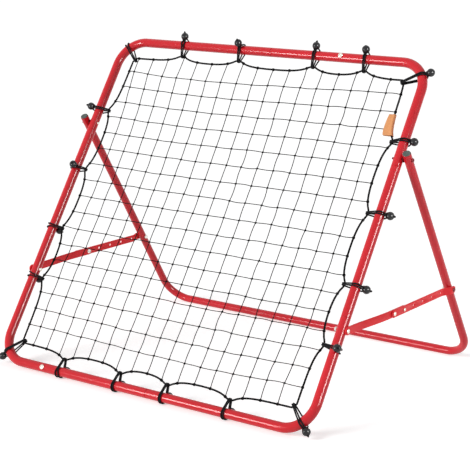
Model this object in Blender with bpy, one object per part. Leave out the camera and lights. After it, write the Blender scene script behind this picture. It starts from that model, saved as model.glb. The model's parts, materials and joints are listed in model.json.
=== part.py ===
"""Football rebounder: a square steel tube frame that leans back on a folding U stand.

A knotted net hangs inside the frame on a border rope, and twenty ball bungees
tie the rope to the tube. Two pairs of flat bars set how far the stand opens.
Lengths are in metres and angles in degrees. X runs along the bottom tube, Y to
the back and Z up, from the middle of the floor under the part. The frame is drawn
flat first, with its own x across, y up the slope and z to the front, and is then
leant back as one.
"""
import math

import bmesh
import bpy
from mathutils import Matrix, Vector

# Frame tube
FRAME_SIZE = 1.000          # outer width and outer height of the square
FRAME_TUBE = 0.025          # outer diameter
FRAME_BEND = 0.075          # corner radius on the centre line
TUBE_WALL = 0.0012
LEAN = 33.95                # lean back from the vertical
SEAT = 0.0003               # clearance between two seated pieces

# Joints between the frame's six tubes
JOINT_OVER_STAY = 0.031     # lower joint above the stay's bolt
JOINT_UNDER_PIVOT = 0.022   # upper joint below the pivot
MID_JOINT = 0.016           # across, from the middle of the top and bottom tubes
SPIGOT_LENGTH = 0.045
SPIGOT_STEP = 0.001         # end play between a spigot's shoulder and its socket

# Stand
STAND_TUBE = 0.022
STAND_BEND = 0.070
PIVOT_OVER = 0.224          # pivot above the middle of the side
LEG_LENGTH = 0.712          # pivot to the middle of the foot tube
LEG_TOP = 0.0195            # leg end above the pivot
LEG_GAP = 0.004             # spacer between a side tube and a leg
PLUG_ACROSS = 0.0202        # over its rim
PLUG_RIM = 0.003
PLUG_STEM = 0.010
PLUG_EDGE = 0.0013          # chamfer

# Stay bars
STAY_ARM = 0.452            # pivot to the stay's bolt, on the frame and on the leg
BAR_WIDTH = 0.020
BAR_THICK = 0.003
BAR_OFF = 0.0015            # bar's inner face beyond the tube it is bolted to
BAR_LAP = 0.013             # lapped bars' inner face beyond the side tube
BAR_TAB = 0.010             # flat end of a bar, past its bolt, before it slants
BAR_CLEAR = 0.044           # lapping length of the upper bar ends this far from its bolt
HOLE_PITCH = 0.050
HOLES_TO_END = 5            # pitches from the leg bolt to the lower bar's end bolt
BAR_END = 0.012             # bar end beyond its last hole

# Fasteners
BOLT = 0.006                # thread diameter
BOLT_HEAD = 0.011
BOLT_HEAD_HIGH = 0.0035
NUT_HIGH = 0.005
NUT_ACROSS = 0.010
NUT_TIP = 0.001             # thread that shows past a nut
PIVOT_TIP = 0.005           # thread that shows past the side tube, where there is no nut
SMALL_HEAD = 0.009
CAP_ACROSS = 0.013          # the end bolt's cap, on the inner side
CAP_RIM = 0.003
CAP_HIGH = 0.0045
SPACER_ACROSS = 0.015
SCREW_TOP_X = 0.234         # screw in the top tube
SCREW_TOP_TURN = -3.0       # its turn from the front towards the top
SCREW_LOW_X = -0.329        # screw in the bottom tube
SCREW_LOW_TURN = -8.0
SCREW_HEAD = 0.013
SCREW_HEAD_HIGH = 0.0045
SCREW_SHANK = 0.004
SCREW_LONG = 0.009          # under its head

# Net, border rope and bungees
ROPE = 0.005
ROPE_IN = 0.0515            # rope's line inside the tube's centre line, between bungees
ROPE_PULL = 0.019           # how far a bungee draws the rope out
ROPE_FADE = 0.026           # how fast that pull dies out along the rope
ROPE_MARKS = (0.018, 0.045) # the rope bends this far to each side of a bungee
NET_GAPS = 17               # meshes each way
NET_FADE = 0.060            # how fast the rope's waves die out into the net
STRAND = 0.0022
CORD = 0.004                # one strand of bungee cord
CORD_BAND = 0.0084          # two strands side by side
BAND_EASE = 0.001           # straight rope past each side of a band
BALL = 0.021
BALL_SEAT = 0.0015          # how far the ball is drawn down onto its cord
CORD_SQUASH = 0.9           # a cord under the bottom tube is pressed to this much
TAG_WIDE = 0.022
TAG_HIGH = 0.058
TAG_THICK = 0.0006
TAG_EASE = 0.0008           # slack between the tag and the rope
TAG_OVER_BUNGEE = 0.016     # lower end of the tag above the highest bungee of its side
BUNGEE_OVER_PIVOT = 0.042   # highest bungee of each side above the pivot
LEFT_UNDER_STAY = 0.023     # lowest bungee of the left side below the stay's bolt
RIGHT_UNDER_STAY = 0.044

# Facets
TUBE_SIDES = 12
SMALL_SIDES = 8
CORD_SIDES = 6
BOLT_SIDES = 10
BEND_STEPS = 6
BAND_TURN = 24.0            # one step of a band round the tube
LOOP_TURN = 36.0            # one step of a band round the rope
DOME = ((0.5, 0.0), (0.5, 0.4), (0.36, 0.82), (0.16, 1.0))     # radius, height of a bolt head
THREAD_END = 0.15           # chamfer at a thread's end, of its diameter

# Worked out
HALF = (FRAME_SIZE - FRAME_TUBE) / 2
FRAME_R = FRAME_TUBE / 2
STAND_R = STAND_TUBE / 2
CORD_R = CORD / 2
ROPE_SEAT = CORD_BAND / 2 + BAND_EASE
CORNER_SEAT = ROPE_SEAT + ROPE / 2
KNOT_IN = ROPE_IN + CORNER_SEAT / math.sqrt(2)
FLAT = math.cos(math.pi / TUBE_SIDES)          # facet's distance per corner radius
SPIGOT_R = FRAME_R - (TUBE_WALL + SEAT) / FLAT
PIVOT_UP = HALF + PIVOT_OVER                   # heights up the side, from the bottom tube
STAY_UP = PIVOT_UP - STAY_ARM
LOWER_JOINT = STAY_UP + JOINT_OVER_STAY
UPPER_JOINT = PIVOT_UP - JOINT_UNDER_PIVOT
STEM_R = (STAND_R - TUBE_WALL) * FLAT - SEAT
HOLE_R = (BOLT / 2 + SEAT) / math.cos(math.pi / SMALL_SIDES)
FRAME_UP = FRAME_R + SEAT + CORD * CORD_SQUASH     # bottom tube stands on its cords
LEG_X = HALF + FRAME_R + LEG_GAP + STAND_R
UPPER_BAR_X = LEG_X + STAND_R + BAR_OFF + BAR_THICK / 2
LOWER_BAR_X = HALF + FRAME_R + BAR_OFF + BAR_THICK / 2
LOWER_LAP_X = HALF + FRAME_R + BAR_LAP + BAR_THICK / 2
UPPER_LAP_X = LOWER_LAP_X + BAR_THICK + SEAT
HEAD_FACE_X = UPPER_LAP_X + BAR_THICK / 2 + SEAT

lean = math.radians(LEAN)
foot_high = STAND_R * FLAT
leg_turn = math.acos((FRAME_UP + PIVOT_UP * math.cos(lean) - foot_high) / LEG_LENGTH)
foot_back = PIVOT_UP * math.sin(lean) + LEG_LENGTH * math.sin(leg_turn)
screw_front = FRAME_R + SEAT + SCREW_HEAD_HIGH
frame_front = (foot_back + foot_high - screw_front) / 2    # the origin is at the part's middle
FRAME = (Matrix.Translation((0, -frame_front, FRAME_UP))
         @ Matrix.Rotation(math.pi / 2 - lean, 4, "X"))
PIVOT = FRAME @ Vector((0, PIVOT_UP, 0))
STAND = Matrix.Translation(PIVOT) @ Matrix.Rotation(leg_turn - math.pi / 2, 4, "X")
FRAME_STAY = FRAME @ Vector((0, STAY_UP, 0))
LEG_STAY = STAND @ Vector((0, STAY_ARM, 0))
stay_line = LEG_STAY - FRAME_STAY
STAY_LENGTH = stay_line.length
stay_turn = math.atan2(stay_line.z, stay_line.y)
LOWER_REACH = STAY_LENGTH - HOLES_TO_END * HOLE_PITCH
LOWER_BAR = Matrix.Translation(FRAME_STAY) @ Matrix.Rotation(stay_turn, 4, "X")
UPPER_BAR = Matrix.Translation(LEG_STAY) @ Matrix.Rotation(stay_turn, 4, "X")

# Bungees along each side: place on the rope from the side's middle, the band's lean
# along the tube, and the ball's turn about the tube from the net side over the front
highest = PIVOT_OVER + BUNGEE_OVER_PIVOT
left_lowest = STAY_UP - LEFT_UNDER_STAY - HALF
right_lowest = STAY_UP - RIGHT_UNDER_STAY - HALF
SIDE_BUNGEES = {
    "top": [(-0.272, -7, 149), (-0.081, -6, 108), (0.155, -3, 151), (0.309, -7, 150)],
    "right": [(right_lowest, -8, 128), (-0.116, 0, 209), (0.072, 3, 190), (highest, 8, 186)],
    "bottom": [(-0.2755, 0, -66), (-0.088, 0, -66), (0.064, 0, -66), (0.255, 0, -66)],
    "left": [(left_lowest, 5, -91), (-0.100, 0, -81), (0.081, 2, 76), (highest, 0, 137)],
}
# Corner bungees: turn of the band from the +X axis, and the ball's turn
CORNER_BUNGEES = {"top_right": (25, 172), "top_left": (135, -130),
                  "bottom_left": (225, 180), "bottom_right": (315, 180)}


# Scene and materials
def clear_scene():
    for old in list(bpy.data.objects):
        bpy.data.objects.remove(old, do_unlink=True)


def material(name, colour, roughness, metallic):
    mat = bpy.data.materials.new(name)
    mat.use_nodes = True
    shader = mat.node_tree.nodes["Principled BSDF"]
    shader.inputs["Base Color"].default_value = (*colour, 1.0)
    shader.inputs["Roughness"].default_value = roughness
    shader.inputs["Metallic"].default_value = metallic
    mat.diffuse_color = (*colour, 1.0)
    return mat


def place(name, bm, mat, matrix=None):
    """Put a mesh in the scene as one named object at the given place."""
    bmesh.ops.recalc_face_normals(bm, faces=bm.faces)
    mesh = bpy.data.meshes.new(name)
    bm.to_mesh(mesh)
    bm.free()
    mesh.materials.append(mat)
    mesh.shade_smooth()
    mesh.set_sharp_from_angle(angle=math.radians(40))
    obj = bpy.data.objects.new(name, mesh)
    bpy.context.collection.objects.link(obj)
    obj.matrix_world = matrix or Matrix.Identity(4)
    return obj


def new_edges(geometry):
    return [item for item in geometry if isinstance(item, bmesh.types.BMEdge)]


def new_verts(geometry):
    return [item for item in geometry if isinstance(item, bmesh.types.BMVert)]


# A ring of edges is walked along straights and bends and leaves a tube behind it
def ring(bm, matrix, radius, sides, turn=0.0):
    made = bmesh.ops.create_circle(bm, radius=radius, segments=sides,
                                   matrix=matrix @ Matrix.Rotation(turn, 4, "Z"))
    return list({edge for vert in made["verts"] for edge in vert.link_edges})


def extrude(bm, edges, matrix):
    """Extrude a ring and move the new ring by the matrix."""
    made = bmesh.ops.extrude_edge_only(bm, edges=edges)["geom"]
    moved = set(new_verts(made))
    bmesh.ops.transform(bm, matrix=matrix, verts=list(moved))
    return [edge for edge in new_edges(made) if moved.issuperset(edge.verts)]


def straight(bm, edges, move):
    return extrude(bm, edges, Matrix.Translation(move))


def step_in(bm, edges, centre, ratio):
    """Narrow the ring in its own plane, which leaves a square shoulder."""
    home = Matrix.Translation(centre)
    return extrude(bm, edges, home @ Matrix.Scale(ratio, 4) @ home.inverted())


def bend(bm, edges, centre, axis, angle, steps):
    verts = list({vert for edge in edges for vert in edge.verts})
    made = bmesh.ops.spin(bm, geom=verts + edges, cent=centre, axis=axis,
                          angle=angle, steps=steps, use_duplicate=False)
    return new_edges(made["geom_last"])


def close_ring(bm, edges):
    bmesh.ops.edgeloop_fill(bm, edges=edges)


def turned(bm, matrix, profile, sides):
    """A solid turned about the matrix's Z axis through (radius, height) points."""
    first_radius, first_height = profile[0]
    edges = ring(bm, matrix @ Matrix.Translation((0, 0, first_height)), first_radius, sides)
    close_ring(bm, edges)
    radius, height = first_radius, first_height
    for next_radius, next_height in profile[1:]:
        grow = next_radius / radius
        move = (matrix @ Matrix.Translation((0, 0, next_height))
                @ Matrix.Diagonal((grow, grow, 1, 1))
                @ (matrix @ Matrix.Translation((0, 0, height))).inverted())
        edges = extrude(bm, edges, move)
        radius, height = next_radius, next_height
    close_ring(bm, edges)


def collar(bm, matrix, inner, outer, low, high, sides):
    """A flat ring round the matrix's Z axis, such as a nut or a spacer."""
    bottom = matrix @ Matrix.Translation((0, 0, low))
    top = matrix @ Matrix.Translation((0, 0, high))
    low_out, high_out = ring(bm, bottom, outer, sides), ring(bm, top, outer, sides)
    low_in, high_in = ring(bm, bottom, inner, SMALL_SIDES), ring(bm, top, inner, SMALL_SIDES)
    for loops in (low_out + low_in, high_out + high_in, low_out + high_out, low_in + high_in):
        bmesh.ops.bridge_loops(bm, edges=loops)


def solidify(obj, thickness):
    wall = obj.modifiers.new("wall", "SOLIDIFY")
    wall.thickness = thickness
    wall.offset = -1
    wall.use_even_offset = True


def boolean(obj, bm, operation):
    """Cut a mesh out of an object, or join it on."""
    mesh = bpy.data.meshes.new(obj.name + "_tool")
    bm.to_mesh(mesh)
    bm.free()
    tool = bpy.data.objects.new(obj.name + "_tool", mesh)
    bpy.context.collection.objects.link(tool)
    tool.matrix_world = obj.matrix_world
    tool.hide_render = True
    tool.display_type = "WIRE"
    modifier = obj.modifiers.new("tool", "BOOLEAN")
    modifier.operation = operation
    modifier.solver = "EXACT"
    modifier.object = tool


def drill(obj, holes):
    """Cut each hole, given as (middle, direction, length, radius), through an object."""
    bm = bmesh.new()
    for middle, direction, length, radius in holes:
        aim = Vector(direction).to_track_quat("Z", "Y").to_matrix().to_4x4()
        bmesh.ops.create_cone(bm, cap_ends=True, segments=SMALL_SIDES, radius1=radius,
                              radius2=radius, depth=length,
                              matrix=Matrix.Translation(middle) @ aim)
    boolean(obj, bm, "DIFFERENCE")


# Frame tubes
def spigot(bm, edges, centre, direction):
    """Narrow a tube's end and run it on into the next tube."""
    edges = step_in(bm, edges, centre, SPIGOT_R / FRAME_R)
    return straight(bm, edges, Vector(direction) * SPIGOT_LENGTH)


def frame_corner(name, side, top, male_mid, mat):
    """An L of tube from the middle of the top or bottom tube to a side joint."""
    up = 1 if top else -1
    level = 2 * HALF if top else 0.0
    joint = UPPER_JOINT if top else LOWER_JOINT
    start = Vector((MID_JOINT + (SPIGOT_STEP if male_mid else 0), level, 0))
    bm = bmesh.new()
    edges = ring(bm, Matrix.Translation(start) @ Matrix.Rotation(math.pi / 2, 4, "Y"),
                 FRAME_R, TUBE_SIDES, math.pi / TUBE_SIDES)
    if male_mid:
        spigot(bm, edges, start, (-side, 0, 0))
    edges = straight(bm, edges, (side * (HALF - FRAME_BEND) - start.x, 0, 0))
    centre = Vector((side * (HALF - FRAME_BEND), level - up * FRAME_BEND, 0))
    edges = bend(bm, edges, centre, (0, 0, 1), -side * up * math.pi / 2, BEND_STEPS)
    straight(bm, edges, (0, joint - centre.y, 0))
    obj = place(name, bm, mat, FRAME)
    solidify(obj, TUBE_WALL)
    return obj


def side_tube(name, side, mat):
    """A straight side tube with a spigot at each end."""
    bm = bmesh.new()
    start = Vector((side * HALF, LOWER_JOINT + SPIGOT_STEP, 0))
    end = Vector((side * HALF, UPPER_JOINT - SPIGOT_STEP, 0))
    edges = ring(bm, Matrix.Translation(start) @ Matrix.Rotation(-math.pi / 2, 4, "X"),
                 FRAME_R, TUBE_SIDES, math.pi / TUBE_SIDES)
    spigot(bm, edges, start, (0, -1, 0))
    edges = straight(bm, edges, end - start)
    spigot(bm, edges, end, (0, 1, 0))
    obj = place(name, bm, mat, FRAME)
    solidify(obj, TUBE_WALL)
    return obj


def across(point, radius=HOLE_R):
    """A bolt hole along X through the tube at a point."""
    return (point, (1, 0, 0), FRAME_TUBE * 2, radius)


def screw_aim(turn):
    angle = math.radians(turn)
    return Vector((0, math.sin(angle), math.cos(angle)))


def screw_hole(x, level, turn):
    aim = screw_aim(turn)
    radius = (SCREW_SHANK / 2 + SEAT) / math.cos(math.pi / SMALL_SIDES)
    return (Vector((x, level, 0)) + aim * FRAME_R, aim, FRAME_R, radius)


def build_frame(mat):
    for side, word in ((-1, "left"), (1, "right")):
        holes = [across(Vector((side * HALF, up, 0))) for up in (PIVOT_UP, STAY_UP)]
        top = frame_corner("top_corner_" + word, side, True, side > 0, mat)
        low = frame_corner("bottom_corner_" + word, side, False, side > 0, mat)
        tube = side_tube("side_tube_" + word, side, mat)
        drill(tube, holes)
        top_holes = [holes[0]]
        low_holes = [holes[1]]
        if side * SCREW_TOP_X > 0:
            top_holes.append(screw_hole(SCREW_TOP_X, 2 * HALF, SCREW_TOP_TURN))
        if side * SCREW_LOW_X > 0:
            low_holes.append(screw_hole(SCREW_LOW_X, 0.0, SCREW_LOW_TURN))
        drill(top, top_holes)
        drill(low, low_holes)


# Stand
def build_stand(mat, plug_mat):
    """The U of tube, walked from the left leg's top round to the right leg's top."""
    bm = bmesh.new()
    flat_down = math.pi / TUBE_SIDES - leg_turn
    edges = ring(bm, Matrix.Translation((-LEG_X, -LEG_TOP, 0)) @ Matrix.Rotation(-math.pi / 2, 4, "X"),
                 STAND_R, TUBE_SIDES, flat_down + math.pi / 2)
    edges = straight(bm, edges, (0, LEG_TOP + LEG_LENGTH - STAND_BEND, 0))
    edges = bend(bm, edges, (STAND_BEND - LEG_X, LEG_LENGTH - STAND_BEND, 0), (0, 0, 1),
                 -math.pi / 2, BEND_STEPS)
    edges = straight(bm, edges, (2 * (LEG_X - STAND_BEND), 0, 0))
    edges = bend(bm, edges, (LEG_X - STAND_BEND, LEG_LENGTH - STAND_BEND, 0), (0, 0, 1),
                 -math.pi / 2, BEND_STEPS)
    straight(bm, edges, (0, STAND_BEND - LEG_LENGTH - LEG_TOP, 0))
    stand = place("stand", bm, mat, STAND)
    solidify(stand, TUBE_WALL)
    holes = [across(Vector((side * LEG_X, down, 0))) for side in (-1, 1) for down in (0, STAY_ARM)]
    drill(stand, holes)
    for side, word in ((-1, "left"), (1, "right")):
        bm = bmesh.new()
        top = (Matrix.Translation((side * LEG_X, -LEG_TOP - SEAT, 0))
               @ Matrix.Rotation(math.pi / 2, 4, "X"))
        turned(bm, top, [(STEM_R - PLUG_EDGE, -PLUG_STEM), (STEM_R, PLUG_EDGE - PLUG_STEM), (STEM_R, 0),
                         (PLUG_ACROSS / 2, 0), (PLUG_ACROSS / 2, PLUG_RIM - PLUG_EDGE),
                         (PLUG_ACROSS / 2 - PLUG_EDGE, PLUG_RIM)], TUBE_SIDES)
        place("leg_plug_" + word, bm, plug_mat, STAND)


# Stay bars
def bar_plate(bm, low, high, middle_x):
    """A flat bar with round ends from low to high along Y, in the plane at middle_x."""
    across_x = Matrix.Translation((middle_x - BAR_THICK / 2, 0, 0)) @ Matrix.Rotation(math.pi / 2, 4, "Y")
    half = BAR_WIDTH / 2
    made = bmesh.ops.create_circle(bm, cap_ends=True, radius=half, segments=TUBE_SIDES,
                                   matrix=across_x @ Matrix.Rotation(math.pi / TUBE_SIDES, 4, "Z"))
    near = low + half
    far = high - half
    for vert in made["verts"]:
        vert.co.y += far if vert.co.y > 0 else near
    faces = list({face for vert in made["verts"] for face in vert.link_faces})
    made = bmesh.ops.extrude_face_region(bm, geom=faces)["geom"]
    bmesh.ops.translate(bm, vec=(BAR_THICK, 0, 0), verts=new_verts(made))


def bar_hole(along, x):
    return (Vector((x, along, 0)), (1, 0, 0), BAR_THICK * 3, HOLE_R)


def slant(bm, flat, lap, offset):
    """Move a bar sideways from its flat end, near its bolt, to its lapping length."""
    for cut in (flat, lap):
        bmesh.ops.bisect_plane(bm, geom=bm.verts[:] + bm.edges[:] + bm.faces[:],
                               plane_co=(0, cut, 0), plane_no=(0, 1, 0))
    for vert in bm.verts:
        vert.co.x += offset * min(max((vert.co.y - flat) / (lap - flat), 0.0), 1.0)


def build_bars(mat):
    lap = LOWER_REACH - HOLE_PITCH - BAR_END
    holes = HOLES_TO_END + 1
    for side, word in ((-1, "left"), (1, "right")):
        bm = bmesh.new()
        bar_plate(bm, -BAR_WIDTH / 2, LOWER_REACH + BAR_END, side * LOWER_BAR_X)
        slant(bm, BAR_TAB, lap, side * (LOWER_LAP_X - LOWER_BAR_X))
        lower = place("lower_bar_" + word, bm, mat, LOWER_BAR)
        drill(lower, [bar_hole(0, side * LOWER_BAR_X), bar_hole(LOWER_REACH, side * LOWER_LAP_X),
                      bar_hole(LOWER_REACH - HOLE_PITCH, side * LOWER_LAP_X)])
        bm = bmesh.new()
        bar_plate(bm, -holes * HOLE_PITCH - BAR_END, BAR_WIDTH / 2, side * UPPER_BAR_X)
        slant(bm, -BAR_TAB, -BAR_CLEAR, side * (UPPER_LAP_X - UPPER_BAR_X))
        upper = place("upper_bar_" + word, bm, mat, UPPER_BAR)
        drill(upper, [bar_hole(0, side * UPPER_BAR_X)]
              + [bar_hole(-hole * HOLE_PITCH, side * UPPER_LAP_X) for hole in range(1, holes + 1)])


# Fasteners
def facing(point, side):
    """A place at a point with its Z axis along +X or -X, away from the middle."""
    return Matrix.Translation(point) @ Matrix.Rotation(side * math.pi / 2, 4, "Y")


def domed(head, high):
    return [(head * radius, high * height) for radius, height in DOME]


def through_bolt(name, side, matrix, outer, end, mat):
    """A bolt along X from its head at outer to its tip at end."""
    bm = bmesh.new()
    length = outer - end
    local = facing((side * outer, 0, 0), side)
    turned(bm, local, [(BOLT * (0.5 - THREAD_END), -length), (BOLT / 2, BOLT * THREAD_END - length),
                       (BOLT / 2, 0)] + domed(BOLT_HEAD, BOLT_HEAD_HIGH), BOLT_SIDES)
    place(name + "_bolt", bm, mat, matrix)


def nutted_bolt(name, side, matrix, outer, inner, mat, nut_mat):
    """A bolt through to a nut against the tube's inner side."""
    nut = inner - SEAT
    through_bolt(name, side, matrix, outer, nut - NUT_HIGH - NUT_TIP, mat)
    bm = bmesh.new()
    collar(bm, facing((side * nut, 0, 0), -side), HOLE_R, NUT_ACROSS / math.sqrt(3), 0,
           NUT_HIGH, 6)
    place(name + "_nut", bm, nut_mat, matrix)


def build_fasteners(steel, zinc, black):
    for side, word in ((-1, "left"), (1, "right")):
        pivot = FRAME @ Matrix.Translation((0, PIVOT_UP, 0))
        inner_face = HALF - FRAME_R
        through_bolt("pivot_" + word, side, pivot, LEG_X + STAND_R + SEAT,
                     inner_face - PIVOT_TIP, steel)
        bm = bmesh.new()
        collar(bm, facing((side * (HALF + FRAME_R), 0, 0), side), HOLE_R, SPACER_ACROSS / 2,
               SEAT, LEG_GAP - SEAT, TUBE_SIDES)
        place("pivot_spacer_" + word, bm, black, pivot)
        low = FRAME @ Matrix.Translation((0, STAY_UP, 0))
        nutted_bolt("frame_stay_" + word, side, low, LOWER_BAR_X + BAR_THICK / 2 + SEAT,
                    inner_face, steel, zinc)
        leg = STAND @ Matrix.Translation((0, STAY_ARM, 0))
        nutted_bolt("leg_stay_" + word, side, leg, UPPER_BAR_X + BAR_THICK / 2 + SEAT,
                    LEG_X - STAND_R, steel, zinc)
        clamp_bolts(side, word, steel)


def clamp_bolts(side, word, mat):
    """The two bolts that clamp the bars: heads on the outer bar, studs in the inner one."""
    outer = LOWER_LAP_X + BAR_THICK / 2
    end = facing((side * outer, LOWER_REACH, 0), side)
    near = facing((side * outer, LOWER_REACH - HOLE_PITCH, 0), side)
    lift = Matrix.Translation((side * (HEAD_FACE_X - outer), 0, 0))
    seat = -BAR_THICK - SEAT
    for number, spot, head, stud in (
            (1, near, BOLT_HEAD, [(BOLT / 2, -BAR_THICK), (BOLT / 2, 0)]),
            (2, end, SMALL_HEAD, [(BOLT / 4, seat - CAP_HIGH), (SMALL_HEAD / 2, seat - CAP_RIM),
                                  (CAP_ACROSS / 2, seat), (BOLT / 2, seat), (BOLT / 2, 0)])):
        bm = bmesh.new()
        turned(bm, lift @ spot, domed(head, BOLT_HEAD_HIGH), BOLT_SIDES)
        place(f"clamp_head_{word}_{number}", bm, mat, LOWER_BAR)
        bm = bmesh.new()
        turned(bm, spot, stud, SMALL_SIDES)
        place(f"clamp_stud_{word}_{number}", bm, mat, LOWER_BAR)


def build_screws(mat):
    for name, x, level, turn in (("top_screw", SCREW_TOP_X, 2 * HALF, SCREW_TOP_TURN),
                                 ("bottom_screw", SCREW_LOW_X, 0.0, SCREW_LOW_TURN)):
        aim = screw_aim(turn)
        seat = Vector((x, level, 0)) + aim * (FRAME_R + SEAT)
        matrix = Matrix.Translation(seat) @ aim.to_track_quat("Z", "Y").to_matrix().to_4x4()
        bm = bmesh.new()
        shank = SCREW_SHANK / 2
        turned(bm, matrix, [(shank / 2, -SCREW_LONG), (shank, shank - SCREW_LONG), (shank, 0)]
               + domed(SCREW_HEAD, SCREW_HEAD_HIGH), SMALL_SIDES)
        place(name, bm, mat, FRAME)


# Border rope and net, both drawn from the same line.
# Each side of the frame has its direction, its way inward and the corners at its ends.
MIDDLE = Vector((0, HALF, 0))
SIDES = {
    "top": (Vector((1, 0, 0)), Vector((0, -1, 0)), "top_left", "top_right"),
    "right": (Vector((0, 1, 0)), Vector((-1, 0, 0)), "bottom_right", "top_right"),
    "bottom": (Vector((1, 0, 0)), Vector((0, 1, 0)), "bottom_left", "bottom_right"),
    "left": (Vector((0, 1, 0)), Vector((1, 0, 0)), "bottom_left", "top_left"),
}


def flat_point(side, s, depth):
    """A point of the frame's plane from a place along a side and a depth inward."""
    along, inward = SIDES[side][:2]
    return MIDDLE + along * s + inward * (depth - HALF)


def side_place(side, point):
    """The place along a side and the depth inward of a point of the frame's plane."""
    along, inward = SIDES[side][:2]
    return (point - MIDDLE).dot(along), (point - MIDDLE).dot(inward) + HALF


def corner(name):
    """Where a corner bungee crosses the tube, where it holds the rope, and its way out."""
    angle = math.radians(CORNER_BUNGEES[name][0])
    outward = Vector((math.cos(angle), math.sin(angle), 0))
    quarter = Vector((math.copysign(1, outward.x), math.copysign(1, outward.y), 0))
    knot = MIDDLE + quarter * (HALF - KNOT_IN)
    offset = quarter * (FRAME_BEND - KNOT_IN)
    reach = (FRAME_BEND ** 2 - offset.length ** 2 + offset.dot(outward) ** 2) ** 0.5
    return knot + outward * (reach - offset.dot(outward)), knot, outward


def corner_end(side, name):
    """The end of a side's rope, where the rope turns into the corner bungee's band."""
    crossing, knot, outward = corner(name)
    step = Vector((-outward.y, outward.x, 0)) * CORNER_SEAT
    ends = [side_place(side, knot + step), side_place(side, knot - step)]
    return min(ends, key=lambda end: end[1])


def pull(side, s):
    """How far the bungees of a side draw the rope out at the place s along it."""
    return sum(ROPE_PULL * math.exp(-max(0.0, abs(s - place_s) - ROPE_SEAT) / ROPE_FADE)
               for place_s, lean_along, turn in SIDE_BUNGEES[side])


def side_line(side):
    """The rope along one side, as (place, depth) points at its ends and round each bungee."""
    first, last = SIDES[side][2:]
    marks = sorted(place_s + offset for place_s, lean_along, turn in SIDE_BUNGEES[side]
                   for mark in (ROPE_SEAT, *ROPE_MARKS) for offset in (-mark, mark))
    line = [(mark, ROPE_IN - pull(side, mark)) for mark in marks]
    return [corner_end(side, first)] + line + [corner_end(side, last)]


def rope_depth(side, s):
    """The rope's distance from the tube's centre line at the place s along a side."""
    line = side_line(side)
    for (first, near), (last, far) in zip(line, line[1:]):
        if s <= last:
            return near + (far - near) * max(s - first, 0) / (last - first)
    return line[-1][1]


def beside_bands(side, s):
    """The place on the rope for a strand that should end at s, but clear of the bands."""
    clear = ROPE_SEAT + STRAND
    for place_s, lean_along, turn in SIDE_BUNGEES[side]:
        if abs(s - place_s) < clear:
            return place_s + math.copysign(clear, s - place_s)
    return s


def rope_route():
    return [flat_point(side, s, depth)
            for side, order in (("top", 1), ("right", -1), ("bottom", -1), ("left", 1))
            for s, depth in side_line(side)[::order]]


def build_rope(mat):
    curve = bpy.data.curves.new("border_rope", "CURVE")
    curve.dimensions = "3D"
    curve.bevel_depth = ROPE / 2
    curve.bevel_resolution = 1
    route = rope_route()
    spline = curve.splines.new("POLY")
    spline.points.add(len(route) - 1)
    for point, target in zip(spline.points, route):
        point.co = (*target, 1)
    spline.use_cyclic_u = True
    curve.materials.append(mat)
    rope = bpy.data.objects.new("border_rope", curve)
    bpy.context.collection.objects.link(rope)
    rope.matrix_world = FRAME


def build_net(mat):
    """A grid drawn out to the rope, with each mesh opened and each strand ridged."""
    half = HALF - ROPE_IN
    reach = ROPE / 2 + SEAT * 2
    bm = bmesh.new()
    bmesh.ops.create_grid(bm, x_segments=NET_GAPS, y_segments=NET_GAPS, size=half)
    bmesh.ops.translate(bm, vec=MIDDLE, verts=bm.verts)
    for vert in bm.verts:
        places = {side: side_place(side, vert.co) for side in SIDES}
        for side, (s, depth) in places.items():
            along, inward = SIDES[side][:2]
            inside = depth - ROPE_IN
            if inside < STRAND:
                tied = beside_bands(side, s)
                vert.co += along * (tied - s)
                vert.co += inward * (rope_depth(side, tied) - ROPE_IN + reach)
            else:
                vert.co += inward * (rope_depth(side, s) - ROPE_IN) * math.exp(-inside / NET_FADE)
    ridge = set(bm.verts)
    meshes = bmesh.ops.inset_individual(bm, faces=bm.faces, thickness=STRAND / 2,
                                        use_even_offset=True)["faces"]
    gaps = [face for face in bm.faces if face not in set(meshes)]
    bmesh.ops.delete(bm, geom=gaps, context="FACES_ONLY")
    border = [face for face in bm.faces
              if any(edge.is_boundary and all(v in ridge for v in edge.verts) for edge in face.edges)]
    bmesh.ops.delete(bm, geom=border, context="FACES")
    loose = [vert for vert in bm.verts if not vert.link_faces]
    bmesh.ops.delete(bm, geom=loose, context="VERTS")
    top = [vert for vert in bm.verts if vert in ridge]
    bmesh.ops.translate(bm, vec=(0, 0, STRAND / 2), verts=top)
    made = bmesh.ops.duplicate(bm, geom=bm.verts[:] + bm.edges[:] + bm.faces[:])["geom"]
    bmesh.ops.scale(bm, vec=(1, 1, -1), verts=new_verts(made))
    bmesh.ops.remove_doubles(bm, verts=bm.verts, dist=STRAND / 100)
    ends = [edge for edge in bm.edges if edge.is_boundary]
    bmesh.ops.holes_fill(bm, edges=ends, sides=4)
    place("net", bm, mat, FRAME)


def hairpin(depth):
    """The tag's folded section round the rope, as (depth, front) points, out and back."""
    leaf = STRAND / 2 + SEAT
    outline = []
    for gap, order in ((0.0, 1), (TAG_THICK, -1)):
        fold = (ROPE / 2 + TAG_EASE + gap) / math.cos(math.radians(15))
        row = [(depth + TAG_WIDE, leaf + gap)]
        for turn in range(30, 331, 30):
            angle = math.radians(turn)
            row.append((depth + fold * math.cos(angle), fold * math.sin(angle)))
        row.append((depth + TAG_WIDE, -leaf - gap))
        outline += row[::order]
    return outline


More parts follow.
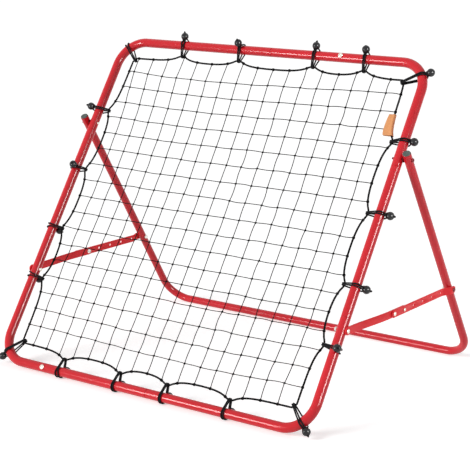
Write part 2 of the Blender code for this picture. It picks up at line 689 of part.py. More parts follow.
def build_tag(mat):
    """A bare tag folded round the rope of the right side, which it follows."""
    low = highest + TAG_OVER_BUNGEE
    high = low + TAG_HIGH
    stations = [low] + [s for s, depth in side_line("right") if low < s < high] + [high]
    bm = bmesh.new()
    loops = []
    for s in stations:
        section = hairpin(rope_depth("right", s))
        loops.append([bm.verts.new(flat_point("right", s, depth) + Vector((0, 0, front)))
                      for depth, front in section])
    count = len(loops[0])
    for one, two in zip(loops, loops[1:]):
        for i in range(count):
            bm.faces.new((one[i - 1], one[i], two[i], two[i - 1]))
    for loop in (loops[0], loops[-1]):
        for i in range(count // 2 - 1):
            bm.faces.new((loop[i], loop[i + 1], loop[-i - 2], loop[-i - 1]))
    place("tag", bm, mat, FRAME)


# Bungees
def bungee(name, crossing, knot, ball_turn, mat):
    """A band of cord round the tube at its crossing and the rope at its knot, with its ball.

    It is drawn with x from the tube to the rope, y to the front and z along the tube.
    """
    reach = (knot - crossing).length
    inward = (knot - crossing) / reach
    front = Vector((0, 0, 1))
    turn = Matrix((inward, front, inward.cross(front))).transposed().to_4x4()
    matrix = Matrix.Translation(crossing) @ turn
    tube_turn, rope_turn = math.radians(BAND_TURN), math.radians(LOOP_TURN)
    big = (FRAME_R + SEAT + CORD_R) / math.cos(tube_turn / 2)
    small = (ROPE / 2 + SEAT + CORD_R) / math.cos(rope_turn / 2)
    lift = math.acos((big - small) / reach)
    steps = round((2 * math.pi - 2 * lift) / tube_turn)
    ends = round(2 * lift / rope_turn)
    start = Matrix.Rotation(lift, 4, "Z") @ Matrix.Translation((big, 0, 0))
    oval = start @ Matrix.Rotation(math.pi / 2, 4, "X") @ Matrix.Diagonal((1, CORD_BAND / CORD, 1, 1))
    bm = bmesh.new()
    first = ring(bm, oval, CORD_R, CORD_SIDES)
    edges = bend(bm, first, (0, 0, 0), (0, 0, 1), 2 * math.pi - 2 * lift, steps)
    corner = Matrix.Rotation(-lift, 4, "Z") @ Vector((1, 0, 0))
    edges = straight(bm, edges, Vector((reach, 0, 0)) + corner * (small - big))
    edges = bend(bm, edges, (reach, 0, 0), (0, 0, 1), 2 * lift, ends)
    bmesh.ops.bridge_loops(bm, edges=first + edges)
    bmesh.ops.transform(bm, matrix=matrix, verts=bm.verts)
    band = place(name, bm, mat, FRAME)
    turn = math.radians(ball_turn)
    off = (big + CORD_R - BALL_SEAT + BALL / 2) / math.cos(max(0.0, lift - abs(turn)))
    spot = matrix @ Vector((off * math.cos(turn), off * math.sin(turn), 0))
    bm = bmesh.new()
    bmesh.ops.create_icosphere(bm, subdivisions=2, radius=BALL / 2, matrix=Matrix.Translation(spot))
    boolean(band, bm, "UNION")
    return band


def flatten_below_floor(band):
    """Cut a band of cord flat where the bottom tube stands on it."""
    bm = bmesh.new()
    bm.from_mesh(band.data)
    bmesh.ops.transform(bm, matrix=FRAME, verts=bm.verts)
    bmesh.ops.bisect_plane(bm, geom=bm.verts[:] + bm.edges[:] + bm.faces[:], plane_co=(0, 0, 0),
                           plane_no=(0, 0, -1), clear_outer=True)
    bmesh.ops.holes_fill(bm, edges=[edge for edge in bm.edges if edge.is_boundary])
    bmesh.ops.transform(bm, matrix=FRAME.inverted(), verts=bm.verts)
    bm.to_mesh(band.data)
    bm.free()


def build_bungees(mat):
    for side, bungees in SIDE_BUNGEES.items():
        for number, (s, lean_along, ball_turn) in enumerate(bungees, 1):
            depth = rope_depth(side, s)
            crossing = flat_point(side, s + depth * math.tan(math.radians(lean_along)), 0)
            band = bungee(f"bungee_{side}_{number}", crossing, flat_point(side, s, depth),
                          ball_turn, mat)
            if side == "bottom":
                flatten_below_floor(band)
    for name, (turn, ball_turn) in CORNER_BUNGEES.items():
        crossing, knot, outward = corner(name)
        bungee("bungee_" + name, crossing, knot, ball_turn, mat)


def build():
    clear_scene()
    red = material("red_powder_coat", (0.62, 0.02, 0.03), 0.28, 0.0)
    bright_red = material("red_bar_paint", (0.66, 0.03, 0.03), 0.35, 0.0)
    steel = material("bright_steel", (0.78, 0.78, 0.76), 0.25, 1.0)
    zinc = material("zinc_plate", (0.70, 0.70, 0.68), 0.35, 1.0)
    black = material("black_plastic", (0.02, 0.02, 0.022), 0.45, 0.0)
    plug = material("grey_plug", (0.06, 0.07, 0.07), 0.5, 0.0)
    twine = material("black_twine", (0.02, 0.02, 0.02), 0.8, 0.0)
    elastic = material("black_elastic", (0.015, 0.015, 0.017), 0.5, 0.0)
    orange = material("orange_tag", (0.9, 0.25, 0.02), 0.6, 0.0)
    build_frame(red)
    build_stand(red, plug)
    build_bars(bright_red)
    build_fasteners(steel, zinc, black)
    build_screws(steel)
    build_rope(twine)
    build_net(twine)
    build_tag(orange)
    build_bungees(elastic)


build()
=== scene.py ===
# %% [markdown]
# # A football rebounder
# A rebounder sends a kicked ball back from a springy net. Its net hangs in a square frame
# of steel tube that leans back on a folding stand. Twenty elastic loops with a ball on each
# keep the net tight. The solid model gives the places and the motion, and this script
# gives every piece its fine shape and its finish.

# %% Load the solid model
import json
from math import acos, atan2, copysign, cos, degrees, exp, pi, radians, sin, sqrt, tan, tau

import bmesh
import bpy
from mathutils import Matrix, Vector, noise

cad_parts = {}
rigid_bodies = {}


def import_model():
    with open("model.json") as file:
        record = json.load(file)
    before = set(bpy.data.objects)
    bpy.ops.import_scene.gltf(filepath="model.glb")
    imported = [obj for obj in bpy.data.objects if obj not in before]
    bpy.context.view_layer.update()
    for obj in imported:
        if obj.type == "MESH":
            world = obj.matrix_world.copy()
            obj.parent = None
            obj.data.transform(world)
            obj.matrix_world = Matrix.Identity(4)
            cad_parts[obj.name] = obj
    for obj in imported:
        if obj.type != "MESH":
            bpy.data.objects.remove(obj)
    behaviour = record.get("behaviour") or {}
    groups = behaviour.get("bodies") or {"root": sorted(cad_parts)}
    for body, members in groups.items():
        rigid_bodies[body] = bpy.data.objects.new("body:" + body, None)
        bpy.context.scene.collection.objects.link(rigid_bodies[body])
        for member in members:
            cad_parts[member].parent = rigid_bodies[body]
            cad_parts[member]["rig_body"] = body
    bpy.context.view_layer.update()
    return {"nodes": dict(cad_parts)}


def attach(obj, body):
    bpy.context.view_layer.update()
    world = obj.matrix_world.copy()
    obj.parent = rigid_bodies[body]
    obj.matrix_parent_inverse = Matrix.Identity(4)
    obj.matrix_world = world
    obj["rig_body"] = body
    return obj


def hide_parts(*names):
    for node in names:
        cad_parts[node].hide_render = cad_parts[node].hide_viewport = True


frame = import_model()

# %% [markdown]
# ## Where the pieces are
# The frame is easiest to draw flat, with x across, y up its slope and z to the front. A
# matrix then leans it back as one. The stand and the bars get a matrix of their own, so
# each piece is drawn straight and is then put in place.

# %% Sizes and places of the frame
slide = Matrix.Translation  # a move without a turn


def rotate(angle, axis):
    return Matrix.Rotation(angle, 4, axis)


HALF = 0.4875  # middle of the frame to a tube's centre line
TUBE_R = 0.0125
BEND_R = 0.075
LEAN = radians(33.95)
FRAME = slide((0, -0.39011, 0.0164)) @ rotate(pi / 2 - LEAN, "X")
PIVOT_UP = 0.7115
STAY_ARM = 0.452
MIDDLE = Vector((0, HALF, 0))
print("frame leans back", round(degrees(LEAN), 2), "degrees")

# %% Sizes and places of the stand and the bars
STAND_R = 0.011
STAND_BEND_R = 0.070
LEG_X = 0.515
LEG_LENGTH = 0.712
LEG_TOP = 0.0195
PIVOT = FRAME @ Vector((0, PIVOT_UP, 0))
FOOT_UP = 0.01063
leg_turn = acos((PIVOT.z - FOOT_UP) / LEG_LENGTH)
STAND = slide(PIVOT) @ rotate(leg_turn - pi / 2, "X")
frame_stay = FRAME @ Vector((0, PIVOT_UP - STAY_ARM, 0))
leg_stay = STAND @ Vector((0, STAY_ARM, 0))
stay = leg_stay - frame_stay
bar_turn = rotate(atan2(stay.z, stay.y), "X")
LOWER_BAR = slide(frame_stay) @ bar_turn
UPPER_BAR = slide(leg_stay) @ bar_turn
print("pivot", [round(x, 4) for x in PIVOT], "stay", round(stay.length, 4), "m")

# %% [markdown]
# ## Camera
# The photograph looks from the right and a little from above, with a long lens, so the
# frame hardly narrows towards the back. The roll of half a degree keeps the tubes on the
# same slant.

# %% Camera
camera_data = bpy.data.cameras.new("camera")
camera_data.sensor_width = 36
camera_data.lens = 108.836
camera = bpy.data.objects.new("camera", camera_data)
camera.matrix_world = (slide((2.12793, -3.02922, 1.20179))
                       @ rotate(radians(35.011), "Z")
                       @ rotate(radians(90 - 12.966), "X")
                       @ rotate(radians(0.429), "Z"))
bpy.context.scene.collection.objects.link(camera)
bpy.context.scene.camera = camera
print("camera lens", camera_data.lens, "mm")

# %% [markdown]
# ## Studio
# The product stands on white paper. A broad soft sun from the front left lights the paint,
# and a weak lamp opens the shadows on the right. Neither shows in the gloss. Two strip
# lamps do that and nothing else, one at the right and one low in front, because a long
# lamp draws one thin line down a shiny tube. The world is white only where the camera or a
# shiny surface looks at it, so the paint keeps its colour. World, paper and finishes are
# made of nodes, so the helpers that add them come first.

# %% Helpers for nodes
def add_node(tree, kind, values, out=0, **settings):
    """Add a node, give each input its value or its link, and return one output."""
    node = tree.nodes.new("ShaderNode" + kind)
    for setting, value in settings.items():
        setattr(node, setting, value)
    for label, value in values.items():
        if isinstance(value, bpy.types.NodeSocket):
            tree.links.new(value, node.inputs[label])
        else:
            node.inputs[label].default_value = value
    return node.outputs[out]


def add_math(tree, operation, *values):
    return add_node(tree, "Math", dict(enumerate(values)), operation=operation)


def add_range(tree, value, low, high, to_low, to_high):
    return add_node(tree, "MapRange", {"Value": value, "From Min": low, "From Max": high,
                                       "To Min": to_low, "To Max": to_high})


def add_seen(tree):
    """One where the camera, a shiny surface or glass looks, and zero for other light."""
    rays = tree.nodes.new("ShaderNodeLightPath").outputs
    seen = add_math(tree, "MAXIMUM", rays["Is Camera Ray"], rays["Is Transmission Ray"])
    return add_math(tree, "MAXIMUM", seen, rays["Is Glossy Ray"])


def new_material(name):
    """A material, its tree, and the inputs of its shader."""
    material = bpy.data.materials.new(name)
    material.use_nodes = True
    tree = material.node_tree
    return material, tree, tree.nodes["Principled BSDF"].inputs


print("node helpers ready")

# %% World and lamps
SKY_LIGHT = 0.34  # strength of the white world as a lamp
scene = bpy.context.scene
scene.view_settings.view_transform = "Standard"
world = bpy.data.worlds.new("studio")
scene.world = world
world.use_nodes = True
sky = world.node_tree
background = sky.nodes["Background"]
background.inputs["Color"].default_value = (1, 1, 1, 1)
sky.links.new(add_range(sky, add_seen(sky), 0, 1, SKY_LIGHT, 1), background.inputs["Strength"])


def place_lamp(name, kind, place, target, roll=0.0):
    data = bpy.data.lights.new(name, kind)
    lamp = bpy.data.objects.new(name, data)
    aim = (Vector(target) - Vector(place)).to_track_quat("-Z", "Y").to_matrix().to_4x4()
    lamp.matrix_world = slide(place) @ aim @ rotate(radians(roll), "Z")
    scene.collection.objects.link(lamp)
    return lamp


def softbox(name, place, target, size, brightness, roll=0.0):
    """A flat lamp, given the brightness of its face."""
    lamp = place_lamp(name, "AREA", place, target, roll)
    lamp.data.shape = "RECTANGLE"
    lamp.data.size, lamp.data.size_y = size
    lamp.data.energy = brightness * pi * size[0] * size[1]
    return lamp


HEART = (0, 0, 0.45)
key = place_lamp("key_lamp", "SUN", (-1.7, -2.9, 2.15), HEART)
key.data.energy = 2.1
key.data.angle = radians(25)
fill = softbox("fill_lamp", (1.75, 0.35, 0.7), (0.5, 0, 0.4), (0.7, 0.7), 3.4)
for lamp in (key, fill):
    lamp.visible_glossy = False
right_strip = softbox("right_strip", (3.44, -0.72, 1.53), (0, -0.05, 0.45), (1.2, 1.4), 24, -32)
front_strip = softbox("front_strip", (-1.72, -3.2, 0.66), HEART, (0.9, 1.1), 22)
for lamp in (right_strip, front_strip):
    lamp.visible_diffuse = False
print("strip lamps", round(right_strip.data.energy), "W and", round(front_strip.data.energy), "W")

# %% White paper floor
PAPER_LIFT = 0.46  # what the camera sees on top of the light on the paper
PAPER_UNDER = 0.0006  # how far the paper lies below the ground of the model
paper, tree, shader = new_material("studio_paper")
for label, value in (("Base Color", (0.93, 0.93, 0.93, 1)), ("Roughness", 0.9),
                     ("Specular IOR Level", 0.0), ("Emission Color", (1, 1, 1, 1))):
    shader[label].default_value = value
tree.links.new(add_math(tree, "MULTIPLY", add_seen(tree), PAPER_LIFT),
               shader["Emission Strength"])
floor_mesh = bpy.data.meshes.new("studio_floor")
sheet = bmesh.new()
bmesh.ops.create_grid(sheet, x_segments=1, y_segments=1, size=30,
                      matrix=slide((0, 0, -PAPER_UNDER)))
sheet.to_mesh(floor_mesh)
sheet.free()
floor_mesh.materials.append(paper)
floor = bpy.data.objects.new("studio_floor", floor_mesh)
scene.collection.objects.link(floor)
print("floor is", round(floor.dimensions.x), "m wide")

# %% [markdown]
# ## Finishes
# Several finishes share the same small effects, so each effect is a node group with named
# inputs and outputs. The first is the skin of a powder coat: a soft orange peel in the
# gloss, a slow drift of colour and a few dull rubs. The second is a braid, for everything
# that is made of cord. The third is plated metal with dull patches and a fine grain.

# %% Helpers for node groups
COLOUR, NUMBER = "NodeSocketColor", "NodeSocketFloat"
EFFECT = (("Colour", COLOUR), ("Roughness", NUMBER), ("Height", NUMBER))


def new_group(name, colours, numbers):
    """An effect with inputs of its own. Each puts out a colour, a roughness and a height."""
    group = bpy.data.node_groups.new(name, "ShaderNodeTree")
    inputs = [(label, COLOUR) for label in colours] + [(label, NUMBER) for label in numbers]
    for way, sockets in (("INPUT", inputs), ("OUTPUT", EFFECT)):
        for label, kind in sockets:
            group.interface.new_socket(label, in_out=way, socket_type=kind)
    return group, group.nodes.new("NodeGroupInput").outputs


def put_out(group, colour, roughness, height):
    out = group.nodes.new("NodeGroupOutput")
    for value, socket in zip((colour, roughness, height), out.inputs):
        group.links.new(value, socket)


def add_noise(tree, vector, scale, detail=2.0):
    return add_node(tree, "TexNoise", {"Vector": vector, "Scale": scale, "Detail": detail}, "Fac")


def add_mix(tree, factor, one, two):
    """Mix two colours, which go into sockets 6 and 7 and come out of 2."""
    return add_node(tree, "Mix", {"Factor": factor, 6: one, 7: two}, 2, data_type="RGBA")


print("every effect puts out", len(EFFECT), "values")

# %% Powder coat
coat, given = new_group("powder_skin", ("Colour", "Shade", "Rubbed"), ("Matt",))
where = coat.nodes.new("ShaderNodeTexCoord").outputs["Object"]
fade = add_range(coat, add_noise(coat, where, 7.0), 0.35, 0.65, 0.0, 1.0)
rub = add_range(coat, add_noise(coat, where, 38.0, 6.0), 0.66, 0.72, 0.0, 0.6)
painted = add_mix(coat, fade, given["Colour"], given["Shade"])
uneven = add_range(coat, add_noise(coat, where, 60.0), 0.3, 0.7, -0.03, 0.03)
dull = add_math(coat, "ADD", given["Matt"], uneven)
put_out(coat, add_mix(coat, rub, painted, given["Rubbed"]),
        add_math(coat, "ADD", dull, add_math(coat, "MULTIPLY", rub, 0.25)),
        add_noise(coat, where, 620.0, 1.0))
print("powder skin has", len(coat.nodes), "nodes")

# %% [markdown]
# A braid is two families of threads that wind round a cord in opposite ways. Their crests
# cross in diamonds, and the grooves between them get a darker colour, which is painted shade.
# Every cord below carries a UV map, with the way round it in U and the metres along it in V,
# so two slanting waves on that map give the diamonds.

# %% Braid
braid, given = new_group("braid", ("Thread", "Groove shade"), ("Rounds", "Picks"))
split = braid.nodes.new("ShaderNodeSeparateXYZ")
braid.links.new(braid.nodes.new("ShaderNodeUVMap").outputs["UV"], split.inputs[0])
around = add_math(braid, "MULTIPLY", split.outputs["X"], given["Rounds"])
along = add_math(braid, "MULTIPLY", split.outputs["Y"], given["Picks"])
slants = [add_math(braid, way, around, along) for way in ("ADD", "SUBTRACT")]
waves = [add_math(braid, "SINE", add_math(braid, "MULTIPLY", slant, tau)) for slant in slants]
crest = add_range(braid, add_math(braid, "MULTIPLY", *waves), -1.0, 1.0, 0.0, 1.0)
# the groove colour is painted shade, laid where the crests are low
put_out(braid, add_mix(braid, crest, given["Groove shade"], given["Thread"]),
        add_range(braid, crest, 0.0, 1.0, 0.85, 0.6), crest)
print("braid has", len(braid.nodes), "nodes")

# %% Plated metal
plate, given = new_group("plating", ("Bright", "Dull"), ("Matt",))
where = plate.nodes.new("ShaderNodeTexCoord").outputs["Object"]
patch = add_range(plate, add_noise(plate, where, 220.0, 4.0), 0.4, 0.62, 0.0, 1.0)
put_out(plate, add_mix(plate, patch, given["Bright"], given["Dull"]),
        add_math(plate, "ADD", given["Matt"], add_math(plate, "MULTIPLY", patch, 0.16)),
        add_noise(plate, where, 1500.0))
print("plating has", len(plate.nodes), "nodes")

# %% A helper that makes a material from a group
def new_finish(name, group, values, strength, depth, specular=0.5, **shader_values):
    """A finish from an effect's values, in its order, and its bump's strength and depth."""
    finish, tree, surface = new_material(name)
    effect = tree.nodes.new("ShaderNodeGroup")
    effect.node_tree = group
    for socket, value in zip(effect.inputs, values):
        socket.default_value = value if isinstance(value, float) else (*value, 1)
    for label, value in {"Specular IOR Level": specular, **shader_values}.items():
        surface[label].default_value = value
    bump = add_node(tree, "Bump", {"Strength": strength, "Distance": depth,
                                   "Height": effect.outputs["Height"]}, "Normal")
    for value, label in ((effect.outputs["Colour"], "Base Color"),
                         (effect.outputs["Roughness"], "Roughness"), (bump, "Normal")):
        tree.links.new(value, surface[label])
    return finish


# A coat's values are its colour, a second shade, the colour of its rubs, and how matt it is
red_tube = new_finish("red_tube_coat", coat, [
    (0.72, 0.014, 0.026), (0.64, 0.011, 0.020), (0.72, 0.04, 0.05), 0.15], 0.05, 0.0003, 0.32)
red_stand = new_finish("red_stand_coat", coat, [
    (0.67, 0.014, 0.026), (0.58, 0.011, 0.021), (0.68, 0.04, 0.05), 0.20], 0.05, 0.0003, 0.32)
red_bar = new_finish("red_bar_coat", coat, [
    (0.90, 0.036, 0.046), (0.82, 0.028, 0.036), (0.88, 0.09, 0.09), 0.34], 0.08, 0.0003, 0.12)
# A darker red for painted bolt heads; on the right pivot bolt it also paints shade on the tip
red_bolt = new_finish("red_bolt_coat", coat, [
    (0.30, 0.010, 0.018), (0.20, 0.008, 0.013), (0.45, 0.06, 0.06), 0.3], 0.1, 0.0003, 0.4)
print("four reds ready")

# %% [markdown]
# The plastic pieces use the same skin with less drift. The balls are moulded and shine and
# the leg plugs are a matt grey green. The spacers are red, painted very dark as the shade
# that falls between tube and leg. Bolts are bright zinc with a touch of yellow, and nuts
# are a little duller.

# %% Plastic and metal finishes
ball_black = new_finish("ball_black", coat, [
    (0.012, 0.013, 0.016), (0.009, 0.010, 0.012), (0.030, 0.032, 0.037), 0.18],
    0.06, 0.0003, 0.4)
plug_grey = new_finish("plug_grey", coat, [
    (0.105, 0.130, 0.120), (0.080, 0.100, 0.092), (0.15, 0.18, 0.17), 0.55], 0.3, 0.0004, 0.3)
# Painted shade: the spacer's red is made very dark, as the shade between tube and leg
spacer_shaded_red = new_finish("spacer_shaded_red", coat, [
    (0.110, 0.008, 0.010), (0.080, 0.006, 0.008), (0.13, 0.03, 0.03), 0.5], 0.3, 0.0004, 0.1)
bright_zinc = new_finish("bright_zinc", plate, [
    (0.90, 0.87, 0.78), (0.74, 0.70, 0.60), 0.2], 0.1, 0.0002, Metallic=1.0)
nut_zinc = new_finish("nut_zinc", plate, [
    (0.86, 0.85, 0.80), (0.62, 0.61, 0.57), 0.28], 0.15, 0.0002, Metallic=1.0)
print("plastic and metal ready")

# %% Cord finishes
# A braid's values are its threads, the painted shade of its grooves, the crests round it and
# the crests in a metre
elastic_black = new_finish("elastic_braid", braid, [
    (0.016, 0.016, 0.018), (0.004, 0.004, 0.005), 6.0, 330.0], 0.6, 0.0004, 0.12)
rope_black = new_finish("rope_braid", braid, [
    (0.012, 0.012, 0.013), (0.003, 0.003, 0.003), 4.0, 150.0], 0.9, 0.0008, 0.08)
twine_black = new_finish("twine_twist", braid, [
    (0.010, 0.010, 0.011), (0.003, 0.003, 0.003), 3.0, 260.0], 0.7, 0.0004, 0.06)
tag_orange = new_finish("tag_weave", braid, [
    (0.88, 0.42, 0.18), (0.78, 0.31, 0.11), 900.0, 900.0], 0.5, 0.0003, 0.2,
    **{"Sheen Weight": 0.3})
print("cord finishes ready")

# %% [markdown]
# ## Tube
# A bent tube is walked from one end to the other. A ring of edges is extruded along each
# straight and spun round each bend, and leaves the skin of the tube behind it. At an end
# the ring steps in, which makes the little chamfer that catches the light at each seam.

# %% Helpers that walk a ring
TUBE_SIDES = 40
BEND_STEPS = 20


def start_ring(shape, place, radius, sides):
    made = bmesh.ops.create_circle(shape, radius=radius, segments=sides, matrix=place)
    return list({edge for vert in made["verts"] for edge in vert.link_edges})


def ring_verts(ring):
    return {vert for edge in ring for vert in edge.verts}


def push_ring(shape, ring, move):
    """Extrude a ring, move the new one and return it."""
    made = bmesh.ops.extrude_edge_only(shape, edges=ring)["geom"]
    moved = {item for item in made if isinstance(item, bmesh.types.BMVert)}
    bmesh.ops.transform(shape, matrix=move, verts=list(moved))
    return [item for item in made
            if isinstance(item, bmesh.types.BMEdge) and moved.issuperset(item.verts)]


def run_straight(shape, ring, way):
    return push_ring(shape, ring, slide(way))


def run_bend(shape, ring, centre, angle):
    made = bmesh.ops.spin(shape, geom=list(ring_verts(ring)) + ring, cent=centre, axis=(0, 0, 1),
                          angle=angle, steps=BEND_STEPS, use_duplicate=False)
    return [item for item in made["geom_last"] if isinstance(item, bmesh.types.BMEdge)]


def narrow(shape, ring, centre, ratio, way=(0, 0, 0)):
    home = slide(centre)
    return push_ring(shape, ring, slide(way) @ home @ Matrix.Scale(ratio, 4)
                     @ home.inverted())


def cap(shape, ring):
    bmesh.ops.edgeloop_fill(shape, edges=ring)


def point_z(way):
    """A turn that brings Z to point along a way."""
    return way.to_track_quat("Z", "Y").to_matrix().to_4x4()


print("ring helpers ready")

# %% Helpers that finish a piece
BOTH_SIDES = ((-1, "left"), (1, "right"))


def outward(shape):
    bmesh.ops.recalc_face_normals(shape, faces=shape.faces)


def finish_piece(name, shape, finish, nodes=(), place=FRAME, sharp=35):
    """Make a shape a piece, on the body of the node that it replaces or else on the frame."""
    body = frame["nodes"][nodes[0]]["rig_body"] if nodes else "frame"
    outward(shape)
    bmesh.ops.transform(shape, matrix=place, verts=shape.verts)
    mesh = bpy.data.meshes.new(name)
    shape.to_mesh(mesh)
    shape.free()
    mesh.materials.append(finish)
    mesh.shade_smooth()
    mesh.set_sharp_from_angle(angle=radians(sharp))
    piece = bpy.data.objects.new(name, mesh)
    scene.collection.objects.link(piece)
    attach(piece, body)
    if nodes:
        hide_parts(*nodes)
    return piece


# %% [markdown]
# ## Frame
# Six tubes plug together: four corners and two straight sides. A side tube has a narrowed
# end, a spigot, that runs up into each corner, and the right corners have one where the
# halves meet. A gap of a millimetre shows each seam as a dark line.

# %% Frame tubes
LOWER_JOINT, UPPER_JOINT, MID_JOINT = 0.2905, 0.6895, 0.016
SPIGOT_R = 0.0109
SPIGOT_RUN = 0.020
SEAM = 0.0008
CHAMFER = 0.0006
LIP = (TUBE_R - CHAMFER) / TUBE_R


def tube_start(shape, centre, way, male):
    """Start a tube at its end and return its ring at full size."""
    way = Vector(way)
    back, radius = (SPIGOT_RUN, SPIGOT_R) if male else (0, TUBE_R * LIP)
    ring = start_ring(shape, slide(centre - way * back) @ point_z(way), radius,
                      TUBE_SIDES)
    cap(shape, ring)
    if male:
        ring = run_straight(shape, ring, way * back)
        ring = narrow(shape, ring, centre, TUBE_R * LIP / radius)
    return narrow(shape, ring, centre, 1 / LIP, way * CHAMFER)


def ring_middle(ring):
    verts = ring_verts(ring)
    return sum((vert.co for vert in verts), Vector()) / len(verts)


def tube_end(shape, ring, centre, way, male):
    """Close a tube at its end, with a spigot where it has one."""
    way = Vector(way)
    ring = run_straight(shape, ring, centre - way * CHAMFER - ring_middle(ring))
    ring = narrow(shape, ring, centre - way * CHAMFER, LIP, way * CHAMFER)
    if male:
        ring = narrow(shape, ring, centre, SPIGOT_R / (TUBE_R * LIP))
        ring = run_straight(shape, ring, way * SPIGOT_RUN)
    cap(shape, ring)


def frame_corner(side, top):
    up = 1 if top else -1
    level = 2 * HALF if top else 0.0
    shape = bmesh.new()
    start = Vector((MID_JOINT + side * SEAM / 2, level, 0))
    ring = tube_start(shape, start, (side, 0, 0), side > 0)
    bend_at = Vector((side * (HALF - BEND_R), level - up * BEND_R, 0))
    ring = run_straight(shape, ring, Vector((bend_at.x, level, 0)) - ring_middle(ring))
    ring = run_bend(shape, ring, bend_at, -side * up * pi / 2)
    end = Vector((side * HALF, (UPPER_JOINT if top else LOWER_JOINT) + up * SEAM / 2, 0))
    tube_end(shape, ring, end, (0, -up, 0), False)
    return shape


for side, word in BOTH_SIDES:
    for top, level_word in ((True, "top"), (False, "bottom")):
        name = f"{level_word}_corner_{word}"
        finish_piece(name + "_tube", frame_corner(side, top), red_tube, [name])
    shape = bmesh.new()
    low, high = (Vector((side * HALF, level, 0))
                 for level in (LOWER_JOINT + SEAM / 2, UPPER_JOINT - SEAM / 2))
    tube_end(shape, tube_start(shape, low, (0, 1, 0), True), high, (0, 1, 0), True)
    tube = finish_piece(f"side_{word}_tube", shape, red_tube, [f"side_tube_{word}"])
print("frame tubes made, each side", len(tube.data.polygons), "faces")

# %% [markdown]
# ## Stand
# One thinner tube makes the whole stand: down one leg, across the floor and up the other.
# Each leg's open top is shut by a plug with a slightly dished top and a rounded rim.

# %% Stand
RIM = STAND_R - CHAMFER
shape = bmesh.new()
leg_top = Vector((-LEG_X, -LEG_TOP, 0))
ring = start_ring(shape, slide(leg_top) @ rotate(-pi / 2, "X"),
                  RIM, TUBE_SIDES)
cap(shape, ring)
ring = narrow(shape, ring, leg_top, STAND_R / RIM, (0, CHAMFER, 0))
ring = run_straight(shape, ring, (0, LEG_TOP + LEG_LENGTH - STAND_BEND_R - CHAMFER, 0))
for side in (-1, 1):
    bend_at = Vector((side * (LEG_X - STAND_BEND_R), LEG_LENGTH - STAND_BEND_R, 0))
    if side > 0:
        ring = run_straight(shape, ring, (2 * bend_at.x, 0, 0))
    ring = run_bend(shape, ring, bend_at, -pi / 2)
ring = run_straight(shape, ring, (0, STAND_BEND_R - LEG_LENGTH - LEG_TOP + CHAMFER, 0))
ring = narrow(shape, ring, (LEG_X, CHAMFER - LEG_TOP, 0), RIM / STAND_R, (0, -CHAMFER, 0))
cap(shape, ring)
stand = finish_piece("stand_tube", shape, red_stand, ["stand"], STAND)
print("stand", [round(size, 3) for size in stand.dimensions], "m")

# %% Turned pieces
def turned(shape, place, profile, sides):
    """Turn a skin about Z through points of radius and height, shut only at its start."""
    ring = start_ring(shape, place @ slide((0, 0, profile[0][1])), profile[0][0],
                      sides)
    cap(shape, ring)
    for (radius, height), (next_radius, next_height) in zip(profile, profile[1:]):
        grow = next_radius / radius
        ring = push_ring(shape, ring, place @ slide((0, 0, next_height))
                         @ Matrix.Diagonal((grow, grow, 1, 1))
                         @ (place @ slide((0, 0, height))).inverted())
    return ring


def turned_solid(place, profile, sides=36):
    shape = bmesh.new()
    cap(shape, turned(shape, place, profile, sides))
    return shape


PLUG_R, PLUG_HIGH, PLUG_EDGE = 0.0101, 0.003, 0.0014
PLUG_GAP = 0.0002  # between the plug's rim and the leg
PLUG = ([(0.0083, -0.010), (0.0089, -0.0088), (0.0089, 0), (PLUG_R, 0)]
        + [(PLUG_R - PLUG_EDGE * (1 - cos(angle)), PLUG_HIGH - PLUG_EDGE * (1 - sin(angle)))
           for angle in (pi / 8 * step for step in range(5))]
        + [(0.0070, PLUG_HIGH), (0.0062, 0.0024), (0.001, 0.0022)])
for side, word in BOTH_SIDES:
    top = (slide((side * LEG_X, -LEG_TOP - PLUG_GAP, 0))
           @ rotate(pi / 2, "X"))
    plug = finish_piece(f"plug_{word}", turned_solid(top, PLUG, TUBE_SIDES), plug_grey,
                        [f"leg_plug_{word}"], STAND)
print("plugs", [round(size * 1000, 1) for size in plug.dimensions], "mm")

# %% [markdown]
# ## Stay bars
# A stay bar is flat steel with round ends and a row of punched holes. Its outline and its
# holes are rings of edges, and a fill between them makes the face with the holes in it.
# The face is extruded and its edges get a small bevel. The bar bends sideways where it
# leaves its tube, to lie on its partner.

# %% Helpers for flat bars
BAR_WIDTH, BAR_THICK = 0.020, 0.003
BAR_END = 0.012  # last hole to the end of the bar
BAR_FLAT = 0.010  # from the stay bolt to where the slant begins
UPPER_SLANT = 0.044  # from the stay bolt to where the slant ends
HOLE_R, HOLE_PITCH = 0.0036, 0.050
ROUND_STEPS, SLANT_STEPS = 48, 24
LOWER_REACH = stay.length - 5 * HOLE_PITCH
LOWER_BAR_X, LOWER_LAP_X = 0.503, 0.5145
UPPER_BAR_X, UPPER_LAP_X = 0.529, 0.5178


def soften(shape, over, offset):
    """Round the edges where the surface turns by more than so many degrees."""
    outward(shape)
    rims = [edge for edge in shape.edges if edge.calc_face_angle(0) > radians(over)]
    bmesh.ops.bevel(shape, geom=rims, offset=offset, offset_type="OFFSET", affect="EDGES",
                    segments=2, profile=0.5, material=-1)


